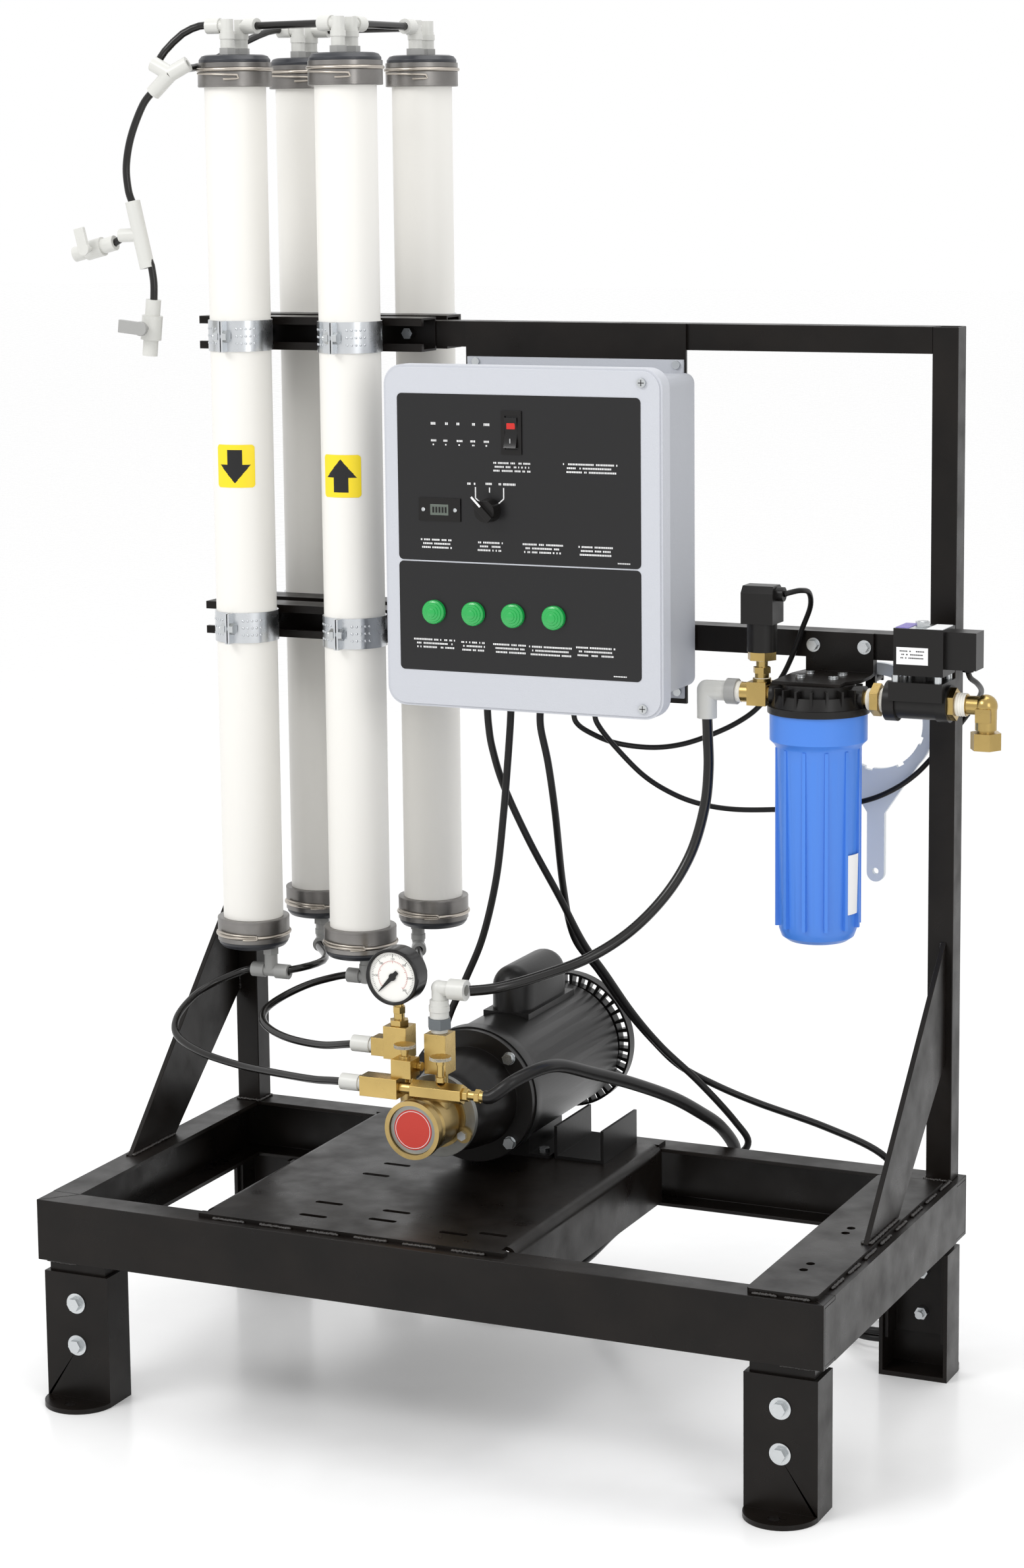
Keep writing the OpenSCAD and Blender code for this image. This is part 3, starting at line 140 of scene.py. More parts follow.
BLKP = mat("plastic_black", (0.007, 0.0062, 0.0058), 0.34, spec=0.28, bump=0.04)
BLKG = mat("gloss_black", (0.006, 0.0055, 0.0055), 0.2, spec=0.35)
GRN = mat("lamp_green", (0.0, 0.33, 0.055), 0.22, spec=0.6, emit=0.12, coat=0.4)
RED = mat("red", (0.52, 0.03, 0.015), 0.3, coat=0.3)
REDW = mat("red_window", (0.42, 0.012, 0.008), 0.2, emit=0.35)
LCD = mat("lcd", (0.10, 0.12, 0.10), 0.25)
BLUE = mat("sump_blue", (0.06, 0.215, 0.70), 0.36, spec=0.5, bump=0.03, bscale=60)
SPAN = mat("spanner", (0.72, 0.76, 0.80), 0.42, spec=0.4)
BRAS = mat("brass", (0.52, 0.37, 0.135), 0.27, 1.0, bump=0.05, bscale=150, var=0.18, rvar=0.09)
BRAS2 = mat("brass_cast", (0.47, 0.34, 0.14), 0.34, 1.0, bump=0.2, bscale=160, var=0.2, rvar=0.1)
PTFE = mat("ptfe", (0.76, 0.74, 0.68), 0.6, bump=0.3, bscale=300)
DISC = mat("pump_disc", (0.54, 0.035, 0.02), 0.4)
GREY = mat("cast_grey", (0.30, 0.30, 0.28), 0.42, 0.8, bump=0.25, bscale=200, var=0.2)
CAST = mat("cast_black", (0.007, 0.006, 0.0055), 0.32, bump=0.1, bscale=150, spec=0.3)
MOTO = mat("motor_black", (0.0065, 0.006, 0.0058), 0.34, bump=0.07, bscale=200, spec=0.3)
STEEL = mat("steel", (0.5, 0.5, 0.5), 0.35, 1.0)
COPP = mat("winding", (0.28, 0.10, 0.04), 0.5, 0.4)
DIAL = mat("dial", (0.86, 0.85, 0.81), 0.5)
YEL = mat("label_yellow", (0.86, 0.66, 0.01), 0.4)
LABW = mat("label_white", (0.82, 0.82, 0.82), 0.5)
PURP = mat("purple", (0.16, 0.12, 0.42), 0.4)
CLR = mat("clear_disc", (0.83, 0.83, 0.76), 0.12, trans=0.75, spec=0.5)
GLAS = mat("dial_glass", (1, 1, 1), 0.04, trans=1.0)
PCB = mat("pcb", (0.01, 0.1, 0.035), 0.35)
MEMB = mat("membrane", (0.6, 0.63, 0.65), 0.4)
MEDIA = mat("media", (0.85, 0.85, 0.82), 0.8, bump=0.5)
GLEV = mat("grey_lever", (0.16, 0.165, 0.17), 0.4)


# ------------------------------------------------------------ helpers
def finish_mesh(name, bm, mats, bevel=0.0, ang=32, body="frame", seg=2):
    me = bpy.data.meshes.new(name)
    lim = math.radians(ang)
    for f in bm.faces:
        f.smooth = True
    for e in bm.edges:
        e.smooth = len(e.link_faces) == 2 and e.calc_face_angle(0) < lim
    bm.to_mesh(me)
    bm.free()
    for m in (mats if isinstance(mats, (list, tuple)) else [mats]):
        me.materials.append(m)
    o = bpy.data.objects.new(name, me)
    bpy.context.scene.collection.objects.link(o)
    if bevel:
        md = o.modifiers.new("bevel", "BEVEL")
        md.width = bevel / 1000
        md.segments = seg
        md.limit_method = "ANGLE"
        md.angle_limit = lim
        md.harden_normals = True
        md.use_clamp_overlap = True
    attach(o, body)
    return o


def dup(node, mats, pick=None, bevel=0.0, ang=32, seg=2, slot=None, clean=True):
    """The CAD node's own shape, its faces merged, its edges eased and its materials laid by place."""
    src = frame["nodes"][node]
    bm = bmesh.new()
    bm.from_mesh(src.data)
    bmesh.ops.remove_doubles(bm, verts=bm.verts, dist=3e-6)
    if clean:
        bmesh.ops.dissolve_limit(bm, angle_limit=math.radians(0.4), verts=bm.verts, edges=bm.edges)
    if pick:
        # a face's material may depend on the solid that it is in: its box goes to pick as well
        bm.faces.ensure_lookup_table()
        seen = set()
        for f0 in bm.faces:
            if f0.index in seen:
                continue
            stack, comp = [f0], []
            seen.add(f0.index)
            while stack:
                f = stack.pop()
                comp.append(f)
                for e in f.edges:
                    for g in e.link_faces:
                        if g.index not in seen:
                            seen.add(g.index)
                            stack.append(g)
            xs = [v.co for f in comp for v in f.verts]
            lo = [min(c[k] for c in xs) * 1000 for k in range(3)]
            hi = [max(c[k] for c in xs) * 1000 for k in range(3)]
            lo = (lo[0] - OX, lo[1] - OY, lo[2])
            hi = (hi[0] - OX, hi[1] - OY, hi[2])
            for f in comp:
                c = f.calc_center_median() * 1000
                f.material_index = pick((c[0] - OX, c[1] - OY, c[2]), f.normal, lo, hi)
    o = finish_mesh(node + "_look", bm, mats, bevel, ang, src["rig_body"], seg)
    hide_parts(node)
    return o


def box(name, a, b, m, bevel=0.4, body="frame", seg=2):
    bm = bmesh.new()
    bmesh.ops.create_cube(bm, size=1)
    A, B = M(a), M(b)
    for v in bm.verts:
        v.co = Vector([A[k] + (v.co[k] + 0.5) * (B[k] - A[k]) for k in range(3)])
    return finish_mesh(name, bm, m, bevel, body=body, seg=seg)


AX = {"x": Matrix.Rotation(math.radians(90), 3, "Y"), "y": Matrix.Rotation(math.radians(-90), 3, "X"), "z": Matrix.Identity(3),
      "-y": Matrix.Rotation(math.radians(90), 3, "X"), "-x": Matrix.Rotation(math.radians(-90), 3, "Y")}


def lathe(name, prof, at, axis, m, n=64, body="frame", ang=32, bevel=0, sym=None, mi=None):
    """A profile of (radius, height) points turned about the axis through at, in millimetres."""
    bm = bmesh.new()
    R = AX[axis] if isinstance(axis, str) else axis
    o = M(at)
    rings = []
    for r, h in prof:
        if r < 1e-6:
            rings.append([bm.verts.new(o + R @ Vector((0, 0, h / 1000)))])
        else:
            rings.append([bm.verts.new(o + R @ Vector((r / 1000 * math.cos(2 * math.pi * k / n), r / 1000 * math.sin(2 * math.pi * k / n), h / 1000))) for k in range(n)])
    for i in range(len(rings) - 1):
        A, B = rings[i], rings[i + 1]
        for k in range(n):
            a, b = A[k % len(A)], A[(k + 1) % len(A)]
            c, d = B[(k + 1) % len(B)], B[k % len(B)]
            vs = []
            for v in (a, b, c, d):
                if v not in vs:
                    vs.append(v)
            if len(vs) >= 3:
                f = bm.faces.new(vs)
                if mi:
                    f.material_index = mi[i]
    bmesh.ops.recalc_face_normals(bm, faces=bm.faces)
    return finish_mesh(name, bm, m, bevel, ang, body)


def plate(name, pts, plane, at, t, m, body="frame", bevel=0.0):
    """A flat outline of 2-D points in the XZ plane at Y, in the YZ plane at X or in the XY plane at Z, t thick."""
    bm = bmesh.new()
    f3 = {"y": lambda p, w: M((p[0], w, p[1])), "x": lambda p, w: M((w, p[0], p[1])), "z": lambda p, w: M((p[0], p[1], w))}[plane]
    A = [bm.verts.new(f3(p, at)) for p in pts]
    B = [bm.verts.new(f3(p, at + t)) for p in pts]
    bm.faces.new(A)
    bm.faces.new(B[::-1])
    for i in range(len(pts)):
        j = (i + 1) % len(pts)
        bm.faces.new((A[i], B[i], B[j], A[j]))
    bmesh.ops.recalc_face_normals(bm, faces=bm.faces)
    return finish_mesh(name, bm, m, bevel, body=body)


def rrect(x0, x1, z0, z1, r, n=8):
    out = []
    for cx, cz, a0 in ((x1 - r, z1 - r, 0), (x0 + r, z1 - r, 90), (x0 + r, z0 + r, 180), (x1 - r, z0 + r, 270)):
        for k in range(n + 1):
            a = math.radians(a0 + 90 * k / n)
            out.append((cx + r * math.cos(a), cz + r * math.sin(a)))
    return out


def many(name, quads, m, body="frame"):
    """Many small flat rectangles facing the front, as one mesh. Each is (x0, x1, z0, z1, y)."""
    bm = bmesh.new()
    for x0, x1, z0, z1, y in quads:
        a = [bm.verts.new(M(p)) for p in ((x0, y, z0), (x1, y, z0), (x1, y, z1), (x0, y, z1))]
        b = [bm.verts.new(M(p)) for p in ((x0, y + 0.25, z0), (x1, y + 0.25, z0), (x1, y + 0.25, z1), (x0, y + 0.25, z1))]
        bm.faces.new(a)
        bm.faces.new(b[::-1])
        for i in range(4):
            j = (i + 1) % 4
            bm.faces.new((a[i], b[i], b[j], a[j]))
    bmesh.ops.recalc_face_normals(bm, faces=bm.faces)
    return finish_mesh(name, bm, m, 0, body=body)


def cr(P, n):
    out = []
    m = len(P)
    for i in range(m - 1):
        a, b, c, d = (Vector(P[max(i - 1, 0)]), Vector(P[i]), Vector(P[i + 1]), Vector(P[min(i + 2, m - 1)]))
        for k in range(n):
            t = k / n
            out.append(0.5 * ((2 * b) + (c - a) * t + (2 * a - 5 * b + 4 * c - d) * t * t + (3 * b - a - 3 * c + d) * t ** 3))
    out.append(Vector(P[-1]))
    return out


def curve(name, pts, d, m, body="frame", caps=True):
    """A round tube along points in millimetres, as one open spline."""
    cu = bpy.data.curves.new(name, "CURVE")
    cu.dimensions = "3D"
    sp = cu.splines.new("POLY")
    sp.points.add(len(pts) - 1)
    for i, p in enumerate(pts):
        sp.points[i].co = (*M(p), 1)
    cu.bevel_depth = d / 2000
    cu.bevel_resolution = 6
    cu.use_fill_caps = caps
    sp.use_smooth = True
    cu.materials.append(m)
    o = bpy.data.objects.new(name, cu)
    bpy.context.scene.collection.objects.link(o)
    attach(o, body)
    return o


# ------------------------------------------------------------ CAD pieces with their finish
FRAMEY = dict(bevel=0.9, seg=2, slot="black_powder_coat")
dup("long_rails", BLK, **FRAMEY)
dup("side_rails", BLK, **FRAMEY)
dup("pump_plate", BLK, bevel=0.5, slot="black_powder_coat")
dup("side_plate", BLK, bevel=0.8, slot="black_powder_coat")
dup("legs", BLK, **FRAMEY)
dup("leg_stubs", BLK, **FRAMEY)
dup("uprights", BLK, bevel=1.6, seg=3, slot="black_powder_coat")
dup("cross_bars", BLK, bevel=1.6, seg=3, slot="black_powder_coat")
dup("gussets", BLK, bevel=0.7, slot="black_powder_coat")
dup("panel_plate", BLK, bevel=0.5, slot="black_powder_coat")
dup("struts", BLK, bevel=0.5, slot="black_powder_coat")
dup("filter_bracket", BLK, bevel=0.5, slot="black_powder_coat")
dup("tube_clamps", ZINC, bevel=0.35, slot="zinc")
dup("fasteners", BOLT, bevel=0.4, slot="zinc")


def pick_house(c, n, lo, hi):
    cx, cy = (lo[0] + hi[0]) / 2, (lo[1] + hi[1]) / 2
    r = math.hypot(c[0] - cx, c[1] - cy)
    if r < 38.0 + 0.6:
        return 0
    return 1


dup("housing_tubes", [WHT, BAND], pick_house, bevel=0.6, slot="white_housing", clean=False)
dup("end_plugs", PLUG, bevel=0.4, slot="black_plastic", clean=False)
dup("retaining_rings", WIRE, slot="spring_wire", clean=False)
dup("membranes", MEMB, slot="membrane_wrap")


def pick_mf(c, n, lo, hi):
    return 1 if hi[2] < 600 else (1 if c[2] < 1612.8 and lo[2] > 1500 else 0)


dup("membrane_fittings", [FITW, FITG], pick_mf, bevel=0.5, slot="white_fitting", clean=False)
dup("link_tubes", TUBE, slot="black_tube", clean=False, ang=50)
# the box body takes the darker copy of the cover's grey, which is painted shade
dup("enclosure_box", BOX_PAINTED_SHADE, bevel=0.6, slot="enclosure_grey")
dup("enclosure_cover", BOXG, bevel=2.2, seg=4, slot="enclosure_grey")


def pick_ch(c, n, lo, hi):
    sx, sz = hi[0] - lo[0], hi[2] - lo[2]
    if sx > 250:
        return 0
    if 120 < sx < 140 and 120 < sz < 140:
        return 1
    if sx < 20:
        return 0
    return 2


dup("control_chassis", [STEEL, PCB, BLKP], pick_ch, bevel=0.4, slot="chassis_zinc")


def pick_di(c, n, lo, hi):
    if 920 < lo[2] and hi[2] < 956 and c[1] < 50.2:
        return 1
    if lo[0] > 150 or hi[0] < -170:
        return 2
    return 0


dup("door_instruments", [BLKP, GRN, BOLT], pick_di, bevel=0.4, slot="black_plastic")
dup("rocker_switch", BLKG, bevel=0.6, slot="red_plastic")
dup("selector_knob", BLKP, bevel=0.7, slot="black_plastic")
dup("cable_glands", BLKP, bevel=0.5, slot="black_plastic")
dup("filter_head", BLKP, bevel=0.6, slot="black_plastic")
dup("filter_sump", BLUE, bevel=0.9, slot="blue_sump", seg=3)
dup("filter_cartridge", MEDIA, slot="filter_media")
dup("filter_spanner", SPAN, bevel=0.8, slot="spanner_plastic")


def pick_ps(c, n, lo, hi):
    return 1 if c[2] < 904.55 else 0


dup("pressure_switch", [BLKP, BRAS], pick_ps, bevel=0.8, slot="instrument_black")


def pick_lf(c, n, lo, hi):
    if hi[0] < 245:
        return 2 if lo[0] > 228 else 1
    if hi[0] < 248.5:
        return 2 if lo[0] > 228 else 1
    return 0


dup("line_fittings", [BRAS, FITW, FITG], pick_lf, bevel=0.6, slot="brass")


def pick_sv(c, n, lo, hi):
    if c[2] > 925.0 and abs(c[0] - 473) < 8.2 and abs(c[1] - 148) < 8.2:
        return 1
    if 871.5 < c[2] < 880.5 and math.hypot(abs(c[0] - 472.5) - 25.5, abs(c[1] - 148) - 20) < 4.8 and c[2] > 872.5:
        return 1
    return 0


dup("solenoid_valve", [BLKP, BOLT], pick_sv, bevel=0.7, slot="instrument_black")
dup("pump_body", BRAS2, bevel=0.6, slot="brass", clean=False)


def pick_pa(c, n, lo, hi):
    return 1 if hi[1] < -41 else 0


dup("pump_adapter", [CAST, GREY], pick_pa, bevel=0.8, slot="cast_black", clean=False)


def pick_mb(c, n, lo, hi):
    x, z = c[0] + 65, c[2] - 343.6
    if lo[1] > 105 and hi[1] < 262 and math.hypot(x, z) < 74.2 and hi[0] - lo[0] > 120 and hi[2] - lo[2] < 150:
        return 1
    return 0


dup("motor_body", [MOTO, COPP], pick_mb, bevel=0.7, slot="motor_black")
dup("motor_rotor", STEEL, slot="rotor_steel")


def pick_mn(c, n, lo, hi):
    if lo[2] > 452 and hi[2] < 461 and hi[0] < -30 and lo[0] > -62:
        return 1
    if lo[2] > 458 and hi[2] < 473 and lo[0] > -65 and hi[0] < -30:
        return 2
    if lo[2] > 470 and lo[0] > -62:
        return 1
    if hi[0] < -133.0:
        return 1
    if c[0] < -131.2 and lo[0] < -135 and hi[0] < -120:
        return 1
    return 0


dup("manifold", [BRAS, FITW, FITD], pick_mn, bevel=0.55, slot="brass")
dup("bypass_valve_knob", [BRAS, CLR], lambda c, n, lo, hi: 1 if c[2] > hi[2] - 4.5 and math.hypot(c[0] - (lo[0] + hi[0]) / 2, c[1] - (lo[1] + hi[1]) / 2) > 3 else 0, bevel=0.4, slot="clear_knob")
dup("drain_valve_knob", [BRAS, CLR], lambda c, n, lo, hi: 1 if c[2] > hi[2] - 4.5 and math.hypot(c[0] - (lo[0] + hi[0]) / 2, c[1] - (lo[1] + hi[1]) / 2) > 3 else 0, bevel=0.4, slot="clear_knob")
dup("gauge_case", [BLKG, BRAS], lambda c, n, lo, hi: 1 if c[2] < 485.5 else 0, bevel=0.5, slot="instrument_black", clean=False)
dup("gauge_needle", BLKG, slot="needle_black")
product_look = dup("product_fittings", FITW, bevel=0.5, slot="white_fitting", clean=False)
lever_l = dup("left_valve_lever", FITW, bevel=0.8, slot="grey_plastic")
lever_d = dup("lower_valve_lever", FITG, bevel=0.8, slot="grey_plastic")

# ------------------------------------------------------------ routes, as in the CAD
R_c3 = [(-500, 90, 1563), (-517, 90, 1545), (-535, 90, 1507), (-543, 90, 1471), (-541, 90, 1441), (-535, 90, 1424)]
R_c4 = [(-546, 90, 1386), (-557, 90, 1379), (-570, 90, 1372)]
R_c5 = [(-511, 90, 1348), (-508, 90, 1326), (-509, 90, 1300)]
R_lo = [(-417, 141, 450), (-434, 137, 445), (-462, 116, 432), (-477, 86, 418), (-479, 50, 400), (-462, 22, 385), (-416, 0, 374), (-350, -20, 369), (-274, -55, 375), (-212, -88, 383), (-178, -104, 389), (-160, -112, 392)]
R_li = [(-287, 157, 450), (-304, 150, 447), (-330, 130, 440), (-352, 103, 429), (-361, 72, 419), (-352, 45, 411), (-325, 20, 406), (-282, -8, 406), (-224, -42, 413), (-180, -66, 424), (-156, -75, 430)]
R_su = [(205, 148, 818), (206, 148, 790), (208, 145, 750), (206, 137, 705), (195, 121, 652), (173, 98, 605), (139, 67, 563), (99, 30, 534), (57, -20, 519), (22, -58, 511), (-8, -75, 508)]
R_dr = [(28, -112, 392.5), (35, -112, 393.5), (43, -108, 399), (58, -95, 411), (74, -60, 418), (84, -20, 413), (100, 38, 391), (122, 105, 364), (146, 175, 331), (164, 222, 302), (178, 262, 273), (184, 296, 236), (165, 312, 212), (130, 318, 188), (60, 330, 145), (0, 345, 95), (-50, 368, 45), (-90, 388, 14), (-125, 391, 9)]
R_pw = [(-74, 125, 814), (-73, 126, 790), (-70, 130, 760), (-60, 141, 712), (-35, 160, 641), (-9, 191, 567), (8, 225, 503), (25, 255, 458), (47, 293, 399), (77, 315, 353), (122, 330, 308), (165, 344, 258), (182, 348, 228), (150, 352, 200), (80, 356, 165), (20, 362, 120), (-30, 374, 72), (-90, 398, 34), (-150, 416, 12), (-210, 406, 4.8), (-250, 391, 4.6), (-275, 383, 4.6), (-292, 381, 4.6)]
R_mo = [(-42, 125, 814), (-43, 124, 790), (-46, 122, 745), (-52, 121, 680), (-63, 122, 600), (-84, 126, 524), (-106, 122, 470), (-120, 112, 434), (-125, 105, 415)]
R_le = [(-3, 125, 814), (-3, 126, 790), (2, 136, 745), (2, 156, 679), (-9, 203, 578), (-13, 245, 504), (4, 283, 454), (27, 321, 395), (56, 342, 351), (90, 345, 322), (138, 350, 300), (198, 345, 284), (290, 335, 266), (368, 322, 244), (402, 322, 205), (418, 326, 150), (425, 322, 90), (425, 318, 40), (423, 330, 12), (420, 350, 4.6)]
R_ps = [(41, 125, 814), (43, 128, 800), (52, 145, 786), (76, 170, 770), (114, 192, 763), (150, 206, 767), (188, 212, 781), (221, 212, 798), (247, 212, 818), (274, 212, 852), (290, 212, 883), (302, 212, 915), (315, 205, 944), (320, 186, 963), (317, 166, 968), (309, 152, 967), (303, 148, 965)]
R_so = [(69, 125, 814), (71, 128, 800), (84, 148, 771), (111, 174, 732), (139, 198, 707), (170, 214, 693), (211, 225, 687), (266, 235, 689), (330, 240, 696), (376, 243, 707), (408, 247, 722), (432, 251, 740), (450, 258, 760), (470, 266, 786), (490, 266, 812), (508, 250, 834), (524, 215, 852), (530, 180, 866), (528, 158, 876), (528, 148, 885)]


def ring(c, r0, dr, z0, dz, a0, turns, n=40):
    out = []
    for k in range(1, int(turns * n) + 1):
        t = k / n
        a = math.radians(a0 + 360 * t)
        out.append(Vector((c[0] + (r0 + dr * t) * math.cos(a), c[1] + (r0 + dr * t) * math.sin(a), z0 + dz * t)))
    return out


def cord(name, pts, d, m, nodes, far, exit_p, **kw):
    o = curve(name, pts, d, m)
    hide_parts(*nodes)
    kw.pop("slot")
    return o


N = 8
c4 = curve("product_stub_left", cr(R_c4, N), 9.4, TUBE)
pr_pts = cr(R_c3, N) + cr([(-535, 90, 1424), (-526, 90, 1386), (-511, 90, 1348)], 4)[1:-1] + cr(R_c5, N)
cord("product_tube_look", pr_pts, 9.4, TUBE, ["product_tube"], "fitting", R_c3[0], slot="black_tube", lay="hanging",
     stiffness="stiff", with_pieces=[product_look, lever_l, lever_d, c4])
cord("loop_tube_outer_look", cr(R_lo, N), 9.4, TUBE, ["loop_tube_outer"], "object", R_lo[0], slot="black_tube", stiffness="stiff")
cord("loop_tube_inner_look", cr(R_li, N), 9.4, TUBE, ["loop_tube_inner"], "object", R_li[0], slot="black_tube", stiffness="stiff")
cord("suction_tube_look", cr(R_su, N), 12.7, TUBE, ["suction_tube"], "object", R_su[0], slot="black_tube", lay="hanging", stiffness="stiff")
dr_pts = cr(R_dr, N)
dr_pts += ring((-125, 306), 85.3, -16.6, 9, 0, 90, 2)
cord("drain_hose_look", dr_pts, 16, HOSE, ["drain_hose", "drain_hose_coil"], "bare", R_dr[0], slot="black_hose", lay="coiled", stiffness="stiff")
pw_pts = cr(R_pw, N) + ring((-292, 330), 50.8, 0, 4.6, 9.4, 90, 2)
pe = pw_pts[-1]
pw_pts += cr([tuple(pe), (-331, 363, 27), (-343, 328, 32), (-331, 294, 37), (-310, 279, 40)], 8)[1:]
plug = dup("power_plug", [BLKP, BRAS], lambda c, n, lo, hi: 1 if hi[0] - lo[0] < 25 and hi[1] - lo[1] < 8 else 0, bevel=1.5, seg=3, slot="black_cable")
cord("power_cord_look", pw_pts, 9, CABL, ["power_cord", "power_cord_coil"], "plug", R_pw[0], slot="black_cable", lay="coiled", with_pieces=[plug])
cord("motor_cable_look", cr(R_mo, N), 9, CABL, ["motor_cable"], "object", R_mo[0], slot="black_cable", lay="hanging")
le_pts = cr(R_le, N) + ring((370, 350), 50, 0, 4.6, 9.4, 0, 2)
cord("level_cable_look", le_pts, 9, CABL, ["level_cable", "level_cable_coil"], "bare", R_le[0], slot="black_cable", lay="coiled")
cord("switch_cable_look", cr(R_ps, N), 6.5, CABL, ["switch_cable"], "object", R_ps[0], slot="black_cable", lay="hanging")
cord("solenoid_cable_look", cr(R_so, N), 6.5, CABL, ["solenoid_cable"], "object", R_so[0], slot="black_cable", lay="hanging")

# ------------------------------------------------------------ front panel
plate("overlay_upper", rrect(-153.5, 161.4, 1000, 1200, 6), "y", 49.55, 0.6, OVER, "cover")
plate("overlay_lower", rrect(-153.5, 161.4, 866.5, 998.3, 6), "y", 49.55, 0.6, OVER, "cover")


def words(x, z, w, rows, h=2.1, gap=4.6, y=49.35):
    """Rows of short dashes in place of lettering."""
    out = []
    for r in range(rows):
        ww = w * (1.0, 0.86, 0.93)[r % 3]
        p = -ww / 2
        while p < ww / 2 - 1:
            l = min(random.uniform(1.1, 2.0), ww / 2 - p)
            if random.random() < 0.84:
                out.append((x + p, x + p + l, z - r * gap, z - r * gap + h, y))
            p += l + 0.55
    return out


q = []
for x in (-105, -88.5, -71, -53, -35.5):
    q += words(x, 1163, 7.5, 1, 3.0)
    q += words(x, 1143, 7.5, 1, 2.4)
    q += words(x, 1138.5, 3, 1, 1.8)
q += words(-3, 1118.5, 52, 3) + words(98, 1119.5, 70, 3)
q += words(-56, 1092.5, 11, 1, 2.6) + words(-33, 1093, 9, 1, 2.6) + words(-8.5, 1093, 24, 1, 2.6)
q += words(-102, 1024, 44, 3) + words(-33, 1023, 34, 3) + words(36, 1023, 52, 3) + words(104, 1022.5, 44, 3)
q += words(-107, 903, 56, 3) + words(-55, 902, 34, 3) + words(-8, 901.5, 44, 3) + words(46, 901, 58, 3) + words(103, 903, 50, 3)
q += words(140, 1005, 16, 1, 1.4) + words(135, 871, 18, 1, 1.4)
many("panel_marks", q, INK, "cover")
# index lines of the selector
many("panel_lines", [(-51.6, -50.2, 1077, 1090, 49.35), (-33.2, -31.8, 1084, 1090, 49.35), (-14.8, -13.4, 1077, 1090, 49.35)], INK, "cover")
for k, (p, r) in enumerate((((-51, 1077), (-44, 1071)), ((-14, 1077), (-21, 1071)))):
    dx, dz = r[0] - p[0], r[1] - p[1]
    L = math.hypot(dx, dz)
    nx, nz = -dz / L * 0.7, dx / L * 0.7
    plate(f"panel_slant_{k}", [(p[0] - nx, p[1] - nz), (r[0] - nx, r[1] - nz), (r[0] + nx, r[1] + nz), (p[0] + nx, p[1] + nz)], "y", 49.35, 0.25, INK, "cover")
# lamps: a ribbed green lens over the bezel
for k, x in enumerate((-107, -55, -3, 50)):
    lathe(f"lamp_{k}", [(0, 12.2), (3, 12.0), (5.2, 11.2), (5.6, 10.4), (8.2, 9.9), (8.6, 9.0), (11.4, 8.3), (11.8, 7.2), (13.4, 6.6), (14.3, 5.6), (14.5, 0)], (x, 50, 938), "-y", GRN, body="cover", ang=20)
# hour meter: window, figures as plain bars and two screws
box("meter_window", (-110, 47.0, 1055), (-86, 47.5, 1068), LCD, 0.3, "cover")
many("meter_bars", [(-107 + 4.1 * k, -104.6 + 4.1 * k, 1058, 1065, 46.85) for k in range(5)], BLKP, "cover")
for k, x in enumerate((-119, -77)):
    lathe(f"meter_screw_{k}", [(0, 1.6), (1.6, 1.5), (2.4, 0.9), (2.4, 0)], (x, 47.4, 1061.5), "-y", BOLT, 24, body="cover")
# rocker: the lit window in its upper half
box("rocker_window", (-8.5, 46.4, 1160), (2.5, 48.4, 1170), REDW, 0.6, "rocker")
many("rocker_mark", [(-3.6, -2.4, 1143, 1149, 44.35)], INK2, "rocker")
# selector pointer
plate("selector_pointer", [(-46.6, 1079.6), (-44.9, 1081.3), (-33.6, 1069.9), (-35.2, 1068.2)], "y", 25.6, 0.5, LABW, "selector")
# cross slots in the cover's screws, drawn as black sheets: painted shade standing in for the recesses
for k, z in enumerate((835, 1217.5)):
    many(f"cover_screw_painted_shade_{k}", [(159.3, 166.7, z - 0.5, z + 0.5, 47.05), (162.5, 163.5, z - 3.7, z + 3.7, 47.0)], BLKP, "cover")

# ------------------------------------------------------------ arrow labels round the tubes
def arrow_label(name, cx, cy, x0, x1, z0, z1, up):
    bm = bmesh.new()
    n = 84
    R = 38.1
    a0, a1 = math.asin((x0 - cx) / R), math.asin((x1 - cx) / R)
    W = (a1 - a0) * R
    H = z1 - z0
    r = 5.0
    grid = {}

    def V(i, j, off):
        key = (i, j, off)
        if key not in grid:
            a = a0 + (a1 - a0) * i / n
            grid[key] = bm.verts.new(M((cx + (R + off) * math.sin(a), cy - (R + off) * math.cos(a), z0 + H * j / n)))
        return grid[key]

    for i in range(n):
        for j in range(n):
            u, v = W * (i + 0.5) / n, H * (j + 0.5) / n
            du, dv = max(r - u, u - (W - r), 0), max(r - v, v - (H - r), 0)
            if math.hypot(du, dv) > r:
                continue
            w = v if up else H - v
            cu = abs(u - W / 2)
            head = H * 0.46 < w < H * 0.90 and cu < (H * 0.90 - w) * 0.93 * W / H * 0.98
            shaft = H * 0.12 < w <= H * 0.47 and cu < W * 0.185
            f = bm.faces.new((V(i, j, 0.25), V(i + 1, j, 0.25), V(i + 1, j + 1, 0.25), V(i, j + 1, 0.25)))
            f.material_index = 1 if head or shaft else 0
    return finish_mesh(name, bm, [YEL, OVER])


arrow_label("arrow_down", -415, 141, -432, -385.5, 1073, 1126.5, False)
arrow_label("arrow_up", -262, 141, -283, -235.6, 1065.5, 1118, True)

# ------------------------------------------------------------ wire handles of the retaining rings
def arc(cx, cy, r, a0, a1, z0, z1, n=18, rise=0.0):
    out = []
    for k in range(n + 1):
        t = k / n
        a = math.radians(a0 + (a1 - a0) * t)
        out.append(Vector((cx + r * math.sin(a), cy - r * math.cos(a), z0 + (z1 - z0) * t + rise * math.sin(math.pi * t))))
    return out


